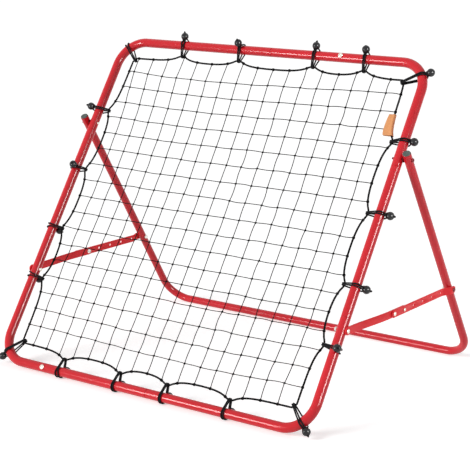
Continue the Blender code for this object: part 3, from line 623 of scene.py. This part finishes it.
def flat_bar(low, high, holes, slant, near_x, far_x, side):
    """A bar along Y. Between the two ends of its slant it moves sideways to the lap."""
    shape = bmesh.new()
    start, end = slant
    face_on = rotate(pi / 2, "Y")
    half_step = rotate(pi / ROUND_STEPS, "Z")
    outline = bmesh.ops.create_circle(shape, radius=BAR_WIDTH / 2, segments=ROUND_STEPS,
                                      matrix=face_on @ half_step)["verts"]
    for vert in outline:
        vert.co.y += high - BAR_WIDTH / 2 if vert.co.y > 0 else low + BAR_WIDTH / 2
    for hole in holes:
        bmesh.ops.create_circle(shape, radius=HOLE_R, segments=24,
                                matrix=slide((0, hole, 0)) @ face_on)
    bmesh.ops.triangle_fill(shape, use_beauty=True, use_dissolve=False, edges=shape.edges[:])
    for step in range(SLANT_STEPS + 1):
        cut = start + (end - start) * step / SLANT_STEPS
        bmesh.ops.bisect_plane(shape, geom=shape.verts[:] + shape.edges[:] + shape.faces[:],
                               plane_co=(0, cut, 0), plane_no=(0, 1, 0))
    made = bmesh.ops.extrude_face_region(shape, geom=shape.faces[:])["geom"]
    bmesh.ops.translate(shape, vec=(BAR_THICK, 0, 0),
                        verts=[item for item in made if isinstance(item, bmesh.types.BMVert)])
    soften(shape, 60, 0.0004)
    for vert in shape.verts:
        share = min(max((vert.co.y - start) / (end - start), 0.0), 1.0)
        eased = share * share * (3 - 2 * share)
        vert.co.x += side * (near_x + (far_x - near_x) * eased) - BAR_THICK / 2
    return shape


print("lower bar reaches", round(LOWER_REACH, 4), "m")

# %% Stay bars
for side, word in BOTH_SIDES:
    lower = flat_bar(-BAR_WIDTH / 2, LOWER_REACH + BAR_END, [],
                     (BAR_FLAT, LOWER_REACH - HOLE_PITCH - BAR_END),
                     LOWER_BAR_X, LOWER_LAP_X, side)
    finish_piece(f"lower_stay_{word}", lower, red_bar, [f"lower_bar_{word}"], LOWER_BAR)
    holes = [-HOLE_PITCH * number for number in (1, 2, 3, 4)]
    upper = flat_bar(-6 * HOLE_PITCH - BAR_END, BAR_WIDTH / 2, holes, (-BAR_FLAT, -UPPER_SLANT),
                     UPPER_BAR_X, UPPER_LAP_X, side)
    bar = finish_piece(f"upper_stay_{word}", upper, red_bar, [f"upper_bar_{word}"],
                       UPPER_BAR)
print("upper bar has", len(bar.data.polygons), "faces")

# %% [markdown]
# ## Bolts and screws
# A bolt is turned in one go: its shank, then the low dome of its head. The last ring of the
# dome is pressed into a hexagon and pushed down, which makes the socket for the key.

# %% Helpers for bolts
BOLT_R, HEAD_R, HEAD_HIGH, KEY_R = 0.003, 0.0055, 0.0035, 0.0019
THREAD_PITCH = 0.001


def facing(x, side):
    return slide((x, 0, 0)) @ rotate(side * pi / 2, "Y")


def socket(shape, ring, place, radius, deep):
    """Press the last ring into a hexagon and push it down."""
    inverse = place.inverted()
    for vert in ring_verts(ring):
        spot = inverse @ vert.co
        angle = atan2(spot.y, spot.x) % (pi / 3) - pi / 6
        reach = radius * cos(pi / 6) / cos(angle)
        flat = Vector((spot.x, spot.y, 0)).normalized() * reach
        vert.co = place @ Vector((flat.x, flat.y, spot.z))
    ring = push_ring(shape, ring, slide(place.to_3x3() @ Vector((0, 0, -deep))))
    cap(shape, ring)


def domed(place, shank, radius, high, key):
    """A domed head with a key socket, above a shank given by its points."""
    shape = bmesh.new()
    curve = [(radius * cos(angle), high * 0.35 + high * 0.65 * sin(angle))
             for angle in (pi / 2 * step / 9 for step in range(8))]
    curve = [point for point in curve if point[0] > key * 1.12]
    rim = [(radius * 0.97, 0), (radius, high * 0.08)]
    ring = turned(shape, place, shank + rim + curve, 36)
    grow = key * 1.1 / curve[-1][0]
    ring = push_ring(shape, ring, place @ Matrix.Diagonal((grow, grow, 1, 1)) @ place.inverted())
    socket(shape, ring, place, key, high * 0.5)
    return shape


def thread(length):
    """A shank with a rounded tip and the rings of its thread near the tip."""
    points = [(BOLT_R * 0.7, -length), (BOLT_R * 0.92, -length + BOLT_R * 0.3)]
    for turn_number in range(6):
        low = -length + BOLT_R * 0.35 + turn_number * THREAD_PITCH
        points += [(BOLT_R * 0.86, low), (BOLT_R, low + THREAD_PITCH / 2)]
    return points + [(BOLT_R, 0)]


print("bolt helpers ready")

# %% Bolts, nuts and spacers
NUT_R, NUT_HIGH = 0.005, 0.005
SEAT = 0.0003
INNER = HALF - TUBE_R
PIVOT_TIP, STAY_TIP = 0.005, 0.0063  # how far a bolt's tip passes the tube
SHORT_OF = 0.0001  # the red begins just short of the head's face
# a whole bolt in dark red, whose red on the tip is painted shade
ALL_RED_AS_SHADE, NOT_RED = 0.0, 1.0


def place_bolt(name, place, side, outer, tip, red_from):
    """A bolt of bright zinc, painted red from one distance sideways."""
    shape = domed(facing(side * outer, side), thread(outer - tip), HEAD_R, HEAD_HIGH, KEY_R)
    for face in shape.faces:
        if side * face.calc_center_median().x > red_from:
            face.material_index = 1
    bolt = finish_piece(name + "_screw", shape, bright_zinc, [name + "_bolt"], place, 30)
    bolt.data.materials.append(red_bolt)


def place_nut(name, place, side, inner):
    shape = bmesh.new()
    spot = facing(side * (inner - SEAT), -side)
    ring = start_ring(shape, spot, NUT_R / cos(pi / 6), 6)
    cap(shape, ring)
    ring = push_ring(shape, ring, slide(spot.to_3x3() @ Vector((0, 0, NUT_HIGH))))
    cap(shape, ring)
    soften(shape, 50, 0.0005)
    finish_piece(name + "_lock", shape, nut_zinc, [name + "_nut"], place, 30)


frame_pivot, frame_low = (FRAME @ slide((0, up, 0))
                          for up in (PIVOT_UP, PIVOT_UP - STAY_ARM))
stand_low = STAND @ slide((0, STAY_ARM, 0))
pivot_out = LEG_X + STAND_R + SEAT
frame_out, leg_out = (x + BAR_THICK / 2 + SEAT for x in (LOWER_BAR_X, UPPER_BAR_X))
for side, word in BOTH_SIDES:
    # The right pivot bolt is red to its tip: the tip on the tube's inner side is painted dark red
    # as the shade there, while the left tip stays bright zinc.
    place_bolt(f"pivot_{word}", frame_pivot, side, pivot_out, INNER - PIVOT_TIP,
               ALL_RED_AS_SHADE if side > 0 else pivot_out - SHORT_OF)
    for name, place, outer, inner, red_from in (
            (f"frame_stay_{word}", frame_low, frame_out, INNER, NOT_RED),
            (f"leg_stay_{word}", stand_low, leg_out, LEG_X - STAND_R, leg_out - SHORT_OF)):
        place_bolt(name, place, side, outer, inner - STAY_TIP, red_from)
        place_nut(name, place, side, inner)
    spacer = turned_solid(facing(side * (HALF + TUBE_R), side),
                          [(0.0068, SEAT), (0.0075, 0.0009), (0.0075, 0.0031), (0.0068, 0.0037)])
    # The spacer takes the very dark red that paints the shade between tube and leg
    finish_piece(f"spacer_{word}", spacer, spacer_shaded_red, [f"pivot_spacer_{word}"], frame_pivot)
print("bolts, nuts and spacers made")

# %% Clamp bolts
CUP = [(0.0016, -0.0027), (0.0019, -0.0045), (0.0034, -0.0045), (0.0046, -0.0031),
       (0.0060, -0.0013), (0.0065, -0.0005), (0.0065, 0), (BOLT_R, 0)]
TIP = [(BOLT_R * 0.8, -BAR_THICK - 0.0004), (BOLT_R, -BAR_THICK)]
SMALL_HEAD_R, SMALL_KEY_R = 0.0045, 0.0016
clamp_face = LOWER_LAP_X + BAR_THICK / 2
head_face = UPPER_LAP_X + BAR_THICK / 2 + SEAT
behind = [(radius, height - BAR_THICK - SEAT) for radius, height in CUP]
for side, word in BOTH_SIDES:
    for number, reach, radius, key, tip, finish in (
            (1, LOWER_REACH - HOLE_PITCH, HEAD_R, KEY_R, TIP, red_bar),
            (2, LOWER_REACH, SMALL_HEAD_R, SMALL_KEY_R, behind, nut_zinc)):
        place = LOWER_BAR @ slide((0, reach, 0))
        head = domed(facing(side * head_face, side), [(BOLT_R, -0.001), (BOLT_R, 0)], radius,
                     HEAD_HIGH, key)
        finish_piece(f"clamp_{word}_{number}", head, bright_zinc,
                     [f"clamp_head_{word}_{number}"], place, 30)
        stud = turned_solid(facing(side * clamp_face, side), tip + [(BOLT_R, 0)])
        finish_piece(f"stud_{word}_{number}", stud, finish, [f"clamp_stud_{word}_{number}"],
                     place, 30)
print("clamp bolts made")

# %% Small screws in the top and bottom tubes
SCREW_SHANK = [(0.002, -0.009), (0.002, 0)]
for name, x, level, turn_up in (("top_screw", 0.234, 2 * HALF, -3.0),
                                ("bottom_screw", -0.329, 0.0, -8.0)):
    angle = radians(turn_up)
    aim = Vector((0, sin(angle), cos(angle)))
    spot = slide(Vector((x, level, 0)) + aim * (TUBE_R + 0.0002))
    head = domed(spot @ point_z(aim), SCREW_SHANK, 0.0065, 0.0045, 0.0024)
    screw = finish_piece(name + "_head", head, bright_zinc, [name], sharp=30)
print("screws", [round(size * 1000, 1) for size in screw.dimensions], "mm")

# %% [markdown]
# ## Cord
# Every cord is swept in the same way. A ring is extruded along the path, square to it, and
# turns at each step by only as much as the path does, so the braid doesn't twist. A number
# on each vertex says how far round it is, and the extrusion copies it, so the new faces
# get their place in the UV map straight away.

# %% Helpers for cords
def smooth_path(points, pieces):
    """A curve through the points, each span cut into pieces."""
    last = len(points) - 1
    path = []
    for i in range(last):
        a, b, c, d = (points[min(max(i + step, 0), last)] for step in (-1, 0, 1, 2))
        for t in (step / pieces for step in range(pieces)):
            path.append(0.5 * (2 * b + (c - a) * t + (2 * a - 5 * b + 4 * c - d) * t * t
                               + (3 * b - a - 3 * c + d) * t * t * t))
    return path + [points[-1]]


def join_shape(whole, part):
    """Add a finished shape to a bigger one."""
    carrier = bpy.data.meshes.new("carrier")
    part.to_mesh(carrier)
    part.free()
    whole.from_mesh(carrier)
    bpy.data.meshes.remove(carrier)


def sweep(whole, path, radius, sides, closed=False):
    """Carry a ring along a path, add the cord that it leaves to the whole, and measure it."""
    cord = bmesh.new()
    uv = cord.loops.layers.uv.verify()
    turn_layer = cord.verts.layers.float.new("turn")
    ends = (path[-1], path[0]) if closed else (path[0], path[-1])
    longer = [ends[0], *path, ends[1]]
    ways = [(after - before).normalized() for before, after in zip(longer, longer[2:])]
    first = start_ring(cord, slide(path[0]) @ point_z(ways[0]), radius, sides)
    for number, vert in enumerate(cord.verts):
        vert[turn_layer] = number / sides
    if not closed:
        cap(cord, first)
    ring, travelled = first, 0.0

    def write_uv(faces, nearer, step):
        """Give new faces the way round in U and the metres along in V."""
        for face in faces:
            seam = max(vert[turn_layer] for vert in face.verts) > 0.6
            for loop in face.loops:
                turn = loop.vert[turn_layer]
                loop[uv].uv = (turn + 1 if seam and turn < 0.4 else turn,
                               travelled if loop.vert in nearer else travelled + step)
        return travelled + step

    for here, there, way, next_way in zip(path, path[1:], ways, ways[1:]):
        nearer = ring_verts(ring)
        turn = way.rotation_difference(next_way).to_matrix().to_4x4()
        ring = push_ring(cord, ring, slide(there) @ turn @ slide(-here))
        faces = {face for edge in ring for face in edge.link_faces}
        travelled = write_uv(faces, nearer, (there - here).length)
    if closed:
        nearer = ring_verts(ring)
        faces = bmesh.ops.bridge_loops(cord, edges=ring + first)["faces"]
        travelled = write_uv(faces, nearer, (path[0] - path[-1]).length)
    else:
        cap(cord, ring)
    join_shape(whole, cord)
    return travelled


print("cord helpers ready")

# %% [markdown]
# ## Border rope
# The rope runs inside the tube and carries the net. Each bungee draws it out towards the
# tube, so it hangs in shallow scallops between them. One function gives its distance from
# the tube at any place along a side, and the rope, the net and the bungees all use it.

# %% The rope's line
ROPE_R, CORD_R, TWINE_R = 0.0025, 0.002, 0.0011
ROPE_IN, ROPE_PULL, ROPE_FADE = 0.0515, 0.019, 0.026
ROPE_SEAT, CORNER_FADE = 0.0052, 0.05
CORNER_SEAT = ROPE_SEAT + ROPE_R
KNOT_IN = ROPE_IN + CORNER_SEAT / sqrt(2)
SIDE_BUNGEES = {
    "top": [(-0.272, -7, 149), (-0.081, -6, 108), (0.155, -3, 151), (0.309, -7, 150)],
    "right": [(-0.272, -8, 128), (-0.116, 0, 209), (0.072, 3, 190), (0.266, 8, 186)],
    "bottom": [(-0.2755, 0, -66), (-0.088, 0, -66), (0.064, 0, -66), (0.255, 0, -66)],
    "left": [(-0.251, 5, -91), (-0.100, 0, -81), (0.081, 2, 76), (0.266, 0, 137)]}
CORNER_BUNGEES = {"top_right": (25, 172), "top_left": (135, -130),
                  "bottom_left": (225, 180), "bottom_right": (315, 180)}
X, Y, FRONT = Vector((1, 0, 0)), Vector((0, 1, 0)), Vector((0, 0, 1))
# The way along each side, the way in, and its two corners
SIDES = {"top": (X, -Y, "top_left", "top_right"), "right": (Y, -X, "bottom_right", "top_right"),
         "bottom": (X, Y, "bottom_left", "bottom_right"), "left": (Y, X, "bottom_left", "top_left")}


def flat_point(side, s, depth):
    along, inward = SIDES[side][:2]
    return MIDDLE + along * s + inward * (depth - HALF)


def side_place(side, point):
    along, inward = SIDES[side][:2]
    return (point - MIDDLE).dot(along), (point - MIDDLE).dot(inward) + HALF


def corner(name):
    angle = radians(CORNER_BUNGEES[name][0])
    out = Vector((cos(angle), sin(angle), 0))
    quarter = Vector((copysign(1, out.x), copysign(1, out.y), 0))
    knot = MIDDLE + quarter * (HALF - KNOT_IN)
    offset = quarter * (BEND_R - KNOT_IN)
    reach = (BEND_R ** 2 - offset.length ** 2 + offset.dot(out) ** 2) ** 0.5
    return knot + out * (reach - offset.dot(out)), knot, out


def corner_end(side, name):
    crossing, knot, out = corner(name)
    step = Vector((-out.y, out.x, 0)) * CORNER_SEAT
    return min((side_place(side, knot + move) for move in (step, -step)), key=lambda end: end[1])


def rope_depth(side, s):
    """The rope's distance inside the tube's centre line, at a place along a side."""
    depth = ROPE_IN - sum(ROPE_PULL * exp(-max(0.0, abs(s - at) - ROPE_SEAT) / ROPE_FADE)
                          for at, _, _ in SIDE_BUNGEES[side])
    for name in SIDES[side][2:]:
        end_s, end_depth = corner_end(side, name)
        near = max(0.0, 1 - abs(s - end_s) / CORNER_FADE)
        depth += (end_depth - depth) * near * near
    return depth


def on_rope(side, s, inside=0.0):
    """A point on the rope, or a little inside it, at a place along a side."""
    return flat_point(side, s, rope_depth(side, s) + inside)


print("rope is", round(rope_depth("top", 0.04) * 1000, 1), "mm inside the tube in a scallop")

# %% Border rope
ROPE_STEPS = 84
route = []
for side, order in (("top", 1), ("right", -1), ("bottom", -1), ("left", 1)):
    first, last = (corner_end(side, name)[0] for name in SIDES[side][2:])
    line = [on_rope(side, first + (last - first) * step / ROPE_STEPS)
            for step in range(ROPE_STEPS + 1)]
    route += line[::order]
shape = bmesh.new()
rope_length = sweep(shape, route, ROPE_R, 12, closed=True)
finish_piece("net_rope", shape, rope_black, ["border_rope"], sharp=80)
print("border rope is", round(rope_length, 3), "m round")

# %% [markdown]
# ## Net
# The net is knotted from thin twine, eighteen meshes each way. Hung by its rope it doesn't
# stay square: its middle rows are drawn wide and its edges lag behind. A short polynomial
# gives that drift for every knot, and a little sway on top of it keeps the strands from
# looking ruled.

# %% Where the knots are
GAPS, MID = 18, 9
PITCH = 0.0484444
SWAY = 0.0016  # how far a knot strays
BAND_CLEAR = 0.0085  # a tie keeps this far from a bungee
noise.seed_set(18)  # unseeded, noise_vector follows the clock
DRIFT_X = (0.82, 10.09, 2.15, 0.54, -6.88, -12.9, 1.13, -1.42, 1.84, -6.61, 2.39, 18.36, 0.11)
DRIFT_Y = (2.45, 2.81, 3.34, 1.04, 5.57, -5.57, -2.18, 1.19, -0.33, -2.93, -8.62, 3.78, 12.06)


def drift(i, j):
    """How far a knot has moved from its square place, in the frame's plane."""
    u, v = (i - MID) / MID, (j - MID) / MID
    terms = (1, u, v, u * u, u * v, v * v, u ** 3, u * u * v, u * v * v, v ** 3, u ** 3 * v,
             u * v ** 3, u * u * v * v)
    return [sum(factor * term for factor, term in zip(row, terms)) / 1000
            for row in (DRIFT_X, DRIFT_Y)]


def sway(i, j, size):
    return noise.noise_vector(Vector((i * 1.7, j * 1.3, 0.4))) * size


def clear_of_bands(side, s):
    for at, _, _ in SIDE_BUNGEES[side]:
        if abs(s - at) < BAND_CLEAR:
            return at + copysign(BAND_CLEAR, s - at)
    return s


def tie_side(i, j):
    if j in (0, GAPS):
        return "top" if j else "bottom"
    return "right" if i else "left"


def knot_at(i, j):
    """A knot's place, or where a strand is tied to the rope."""
    inner_i, inner_j = (min(max(number, 1), GAPS - 1) for number in (i, j))
    move_x, move_y = drift(inner_i, inner_j)
    spot = MIDDLE + Vector(((inner_i - MID) * PITCH + move_x,
                            (inner_j - MID) * PITCH + move_y, 0))
    if (i, j) == (inner_i, inner_j):
        return spot + sway(i, j, SWAY)
    side = tie_side(i, j)
    return on_rope(side, clear_of_bands(side, side_place(side, spot)[0]), ROPE_R + 0.0005)


knots = {(i, j): knot_at(i, j) for i in range(GAPS + 1) for j in range(GAPS + 1)
         if 0 < i < GAPS or 0 < j < GAPS}
print("net has", len(knots), "knots and ties")

# %% Strands
BOW, SLACK = 0.0028, 0.0022  # the most that a strand strays in the net, and out of it


def strand(ends):
    """A strand from tie to tie, bowed a little between its knots."""
    points = []
    for one, two in zip(ends, ends[1:]):
        across = (two - one).cross(FRONT).normalized()
        bow = noise.noise(one * 31.0) * BOW
        slack = noise.noise(one * 17.0 + Vector((5, 5, 5))) * SLACK
        points.append(one)
        for share in (0.25, 0.5, 0.75):
            lift = 4 * share * (1 - share)
            points.append(one.lerp(two, share) + across * bow * lift + Vector((0, 0, slack * lift)))
    return points + [ends[-1]]


net = bmesh.new()
twine_length = 0.0
for line in range(1, GAPS):
    for ends in ([knots[line, j] for j in range(GAPS + 1)],
                 [knots[i, line] for i in range(GAPS + 1)]):
        twine_length += sweep(net, strand(ends), TWINE_R, 6)
net_piece = finish_piece("net_strands", net, twine_black, ["net"], sharp=80)
print("net uses", round(twine_length, 1), "m of twine and", len(net_piece.data.polygons), "faces")

# %% Knots and ties
KNOT_SIZE = (0.0036, 0.0028, 0.0026)
TIE_APART = 0.0013  # each of a tie's two turns, from its middle
TIE_GAP = 0.0006


def coil(shape, spot, way):
    """One turn of twine round the rope."""
    ring = start_ring(shape, slide(spot) @ point_z(way)
                      @ slide((ROPE_R + TIE_GAP, 0, 0))
                      @ rotate(pi / 2, "X"), TWINE_R, 5)
    bmesh.ops.spin(shape, geom=list(ring_verts(ring)) + ring, cent=spot, axis=way,
                   angle=tau, steps=9, use_merge=True, use_duplicate=False)


knot_mesh = bmesh.new()
for (i, j), spot in knots.items():
    shape = bmesh.new()
    if i in (0, GAPS) or j in (0, GAPS):
        side = tie_side(i, j)
        s = side_place(side, spot)[0]
        here = on_rope(side, s)
        way = (on_rope(side, s + 0.003) - here).normalized()
        for shift in (-TIE_APART, TIE_APART):
            coil(shape, here + way * shift, way)
    else:
        turn = rotate(pi / 4 + sway(i, j, 1.0).x, "Z")
        bmesh.ops.create_uvsphere(shape, u_segments=8, v_segments=5, radius=1.0,
                                  matrix=slide(spot) @ turn
                                  @ Matrix.Diagonal((*KNOT_SIZE, 1)))
    join_shape(knot_mesh, shape)
knot_piece = finish_piece("net_knots", knot_mesh, twine_black, sharp=80)
print("knots have", len(knot_piece.data.polygons), "faces")

# %% [markdown]
# ## Ball bungees
# A ball bungee is a loop of elastic cord with both ends knotted inside a ball. The doubled
# cord goes over the tube to the rope, round the rope and back behind the tube, and the end
# of the loop hooks round the neck of the ball. One path follows all of that: out along one
# strand, round the neck, and back along the other.

# %% The path of a bungee
BALL_R = 0.0105
WRAP_R = TUBE_R + CORD_R + SEAT  # middle of the cord round the tube
HOOK_R = ROPE_R + CORD_R + SEAT  # and round the rope
NECK_OUT, NECK_WIDE = 0.0030, 0.0068  # the loop's end round the neck of the ball
ARC_STEP = 0.35  # about how far the path turns from point to point


def round_tube(angle, z, more=0.0):
    return Vector(((WRAP_R + more) * cos(angle), (WRAP_R + more) * sin(angle), z))


def bungee_path(reach, ball_turn, spread, behind):
    """Points of the loop, with X inwards and Y to the front, and where it leaves the tube."""
    lift = acos((WRAP_R - HOOK_R) / reach)
    ball = radians(ball_turn % 360)
    # Out of the ball and over the front
    half = [round_tube(ball, 0.0012, 0.006), round_tube(ball - radians(6), 0.0018, 0.0022)]
    start = ball - radians(18)
    steps = max(2, round((start - lift) / ARC_STEP))
    half += [round_tube(start + (lift - start) * i / steps,
                        0.0021 + (spread - 0.0021) * sin(pi * (i + 0.6) / (steps + 1.2)))
             for i in range(steps + 1)]
    # Round the rope
    for angle in (lift * (1 - 2 * i / 6) for i in range(7)):
        half.append(Vector((reach + HOOK_R * cos(angle), HOOK_R * sin(angle), 0.0020)))
    # Back behind the tube
    back = ball - tau + radians(24)
    steps = max(2, round((-lift - back) / ARC_STEP))
    half += [round_tube(-lift + (back + lift) * i / steps, behind * (1 + 0.4 * i / steps))
             for i in range(steps + 1)]
    # Round the neck of the ball, to the middle of the loop
    for swing in (radians(turn_round) for turn_round in (10, 40, 70)):
        half.append(round_tube(ball + 0.10 - sin(swing) * 0.42,
                               NECK_WIDE * cos(swing), NECK_OUT))
    return half + [Vector((p.x, p.y, -p.z)) for p in reversed(half)], lift


print("bungee path has", len(bungee_path(0.0325, 150, 0.003, 0.0046)[0]), "points")

# %% Where the bungees are
places = {}
for side, bungees in SIDE_BUNGEES.items():
    for number, (s, lean_along, ball_turn) in enumerate(bungees, 1):
        depth = rope_depth(side, s)
        crossing = flat_point(side, s + depth * tan(radians(lean_along)), 0)
        places[f"{side}_{number}"] = (crossing, flat_point(side, s, depth), ball_turn)
for name, (_, ball_turn) in CORNER_BUNGEES.items():
    crossing, knot, _ = corner(name)
    places[name] = (crossing, knot, ball_turn)
print(len(places), "bungees")

# %% Bungees
# How far each strand keeps from the middle, over the front and behind, where it isn't usual
WIDE = {"left_1": 0.0062, "left_2": 0.0056, "top_1": 0.0050, "bottom_1": 0.0056,
        "top_left": 0.0050}
TIGHT = ("top_right", "bottom_1", "bottom_2", "bottom_3", "bottom_4")
# Balls with only a short stub of a tail
ROUND = ("top_4", "top_right", "right_4", "left_3")
PRESSED = 0.0004  # the cords under the bottom tube are flat at this height
BALL = ([(0.0030, -BALL_R * 0.86)]
        + [(BALL_R * sin(angle), -BALL_R * cos(angle))
           for angle in (pi * step / 24 for step in range(3, 22))]
        + [(0.0030, BALL_R * 0.94), (0.0026, BALL_R * 0.84)])
TAIL = [(0.0024, 0.0), (0.0031, 0.0010), (0.0030, 0.0022), (0.0021, 0.0042), (0.0012, 0.0056),
        (0.0005, 0.0060)]
for short, (crossing, knot, ball_turn) in places.items():
    name = "bungee_" + short
    inward = (knot - crossing).normalized()
    place = (FRAME @ slide(crossing)
             @ Matrix((inward, FRONT, inward.cross(FRONT))).transposed().to_4x4())
    loose = noise.noise(crossing * 23.0)
    points, lift = bungee_path((knot - crossing).length, ball_turn,
                               WIDE.get(short, 0.0030 + 0.0008 * loose),
                               0.0024 if short in TIGHT else 0.0044 + 0.0014 * loose)
    shape = bmesh.new()
    cord_length = sweep(shape, smooth_path(points, 2), CORD_R * 0.98, 8)
    bmesh.ops.transform(shape, matrix=place, verts=shape.verts)
    if short[:-1] == "bottom_":
        for vert in shape.verts:
            vert.co.z = max(vert.co.z, PRESSED)
    finish_piece(name + "_cord", shape, elastic_black, [name], place=Matrix(), sharp=80)
    turn = radians(ball_turn)
    off = (WRAP_R + CORD_R - 0.0015 + BALL_R) / cos(max(0.0, lift - abs(turn)))
    spot = Vector((off * cos(turn), off * sin(turn), 0))
    aim = slide(spot) @ point_z(spot)
    ball = finish_piece(name + "_ball", turned_solid(aim, BALL, 32), ball_black, place=place)
    tip = (aim @ slide((0, 0, BALL_R * 0.84))
           @ rotate(0.9 * loose, "X") @ rotate(0.3, "Y"))
    long = 0.35 if short in ROUND else 1.0
    tail = turned_solid(tip, [(radius, height * long) for radius, height in TAIL], 12)
    finish_piece(name + "_tail", tail, elastic_black, place=place)
print("each bungee has about", round(cord_length, 3), "m of cord")

# %% [markdown]
# ## Tag
# A small orange tag is folded round the rope and stitched shut. It starts as a flat grid:
# one way follows the fold, out along one leaf, round the rope and back along the other,
# and the other way follows the rope.

# %% Tag
TAG_LOW, TAG_HIGH, TAG_WIDE = 0.282, 0.058, 0.0195
TAG_FLARE = 0.011  # wider at its lower end, where it has slipped
FOLD_R = ROPE_R + 0.0023  # room for the ties on the rope
LEAF, LEAF_FADE = 0.0022, 0.004  # each leaf from the middle, and how soon it closes
CURL = 0.0005
ACROSS, ALONG = 44, 24
half_round = FOLD_R * pi
flat_width = 2 * TAG_WIDE + half_round
tag_shape = bmesh.new()
bmesh.ops.create_grid(tag_shape, x_segments=ACROSS, y_segments=ALONG, size=0.5)
uv = tag_shape.loops.layers.uv.verify()
for face in tag_shape.faces:
    for loop in face.loops:
        loop[uv].uv = ((loop.vert.co.x + 0.5) * flat_width, (loop.vert.co.y + 0.5) * TAG_HIGH)
for vert in tag_shape.verts:
    run, s = (vert.co.x + 0.5) * flat_width, TAG_LOW + (vert.co.y + 0.5) * TAG_HIGH
    depth = rope_depth("right", s)
    if run < TAG_WIDE or run > TAG_WIDE + half_round:
        gone = TAG_WIDE - run if run < TAG_WIDE else run - TAG_WIDE - half_round
        height = LEAF + (FOLD_R - LEAF) * exp(-gone / LEAF_FADE)
        front = height if run < TAG_WIDE else -height
        depth += gone * (1 + TAG_FLARE / TAG_WIDE * (0.5 - (s - TAG_LOW) / TAG_HIGH))
    else:
        angle = pi / 2 + (run - TAG_WIDE) / FOLD_R
        depth, front = depth + FOLD_R * cos(angle), FOLD_R * sin(angle)
    curl = noise.noise(Vector((s * 40, depth * 60, 1.0))) * CURL
    vert.co = flat_point("right", s, depth) + FRONT * (front + curl)
tag = finish_piece("rope_tag", tag_shape, tag_orange, ["tag"], sharp=80)
thick = tag.modifiers.new("cloth", "SOLIDIFY")
thick.thickness, thick.offset = 0.0006, 0
print("tag was cut to", round(flat_width * 1000, 1), "by", round(TAG_HIGH * 1000, 1), "mm")
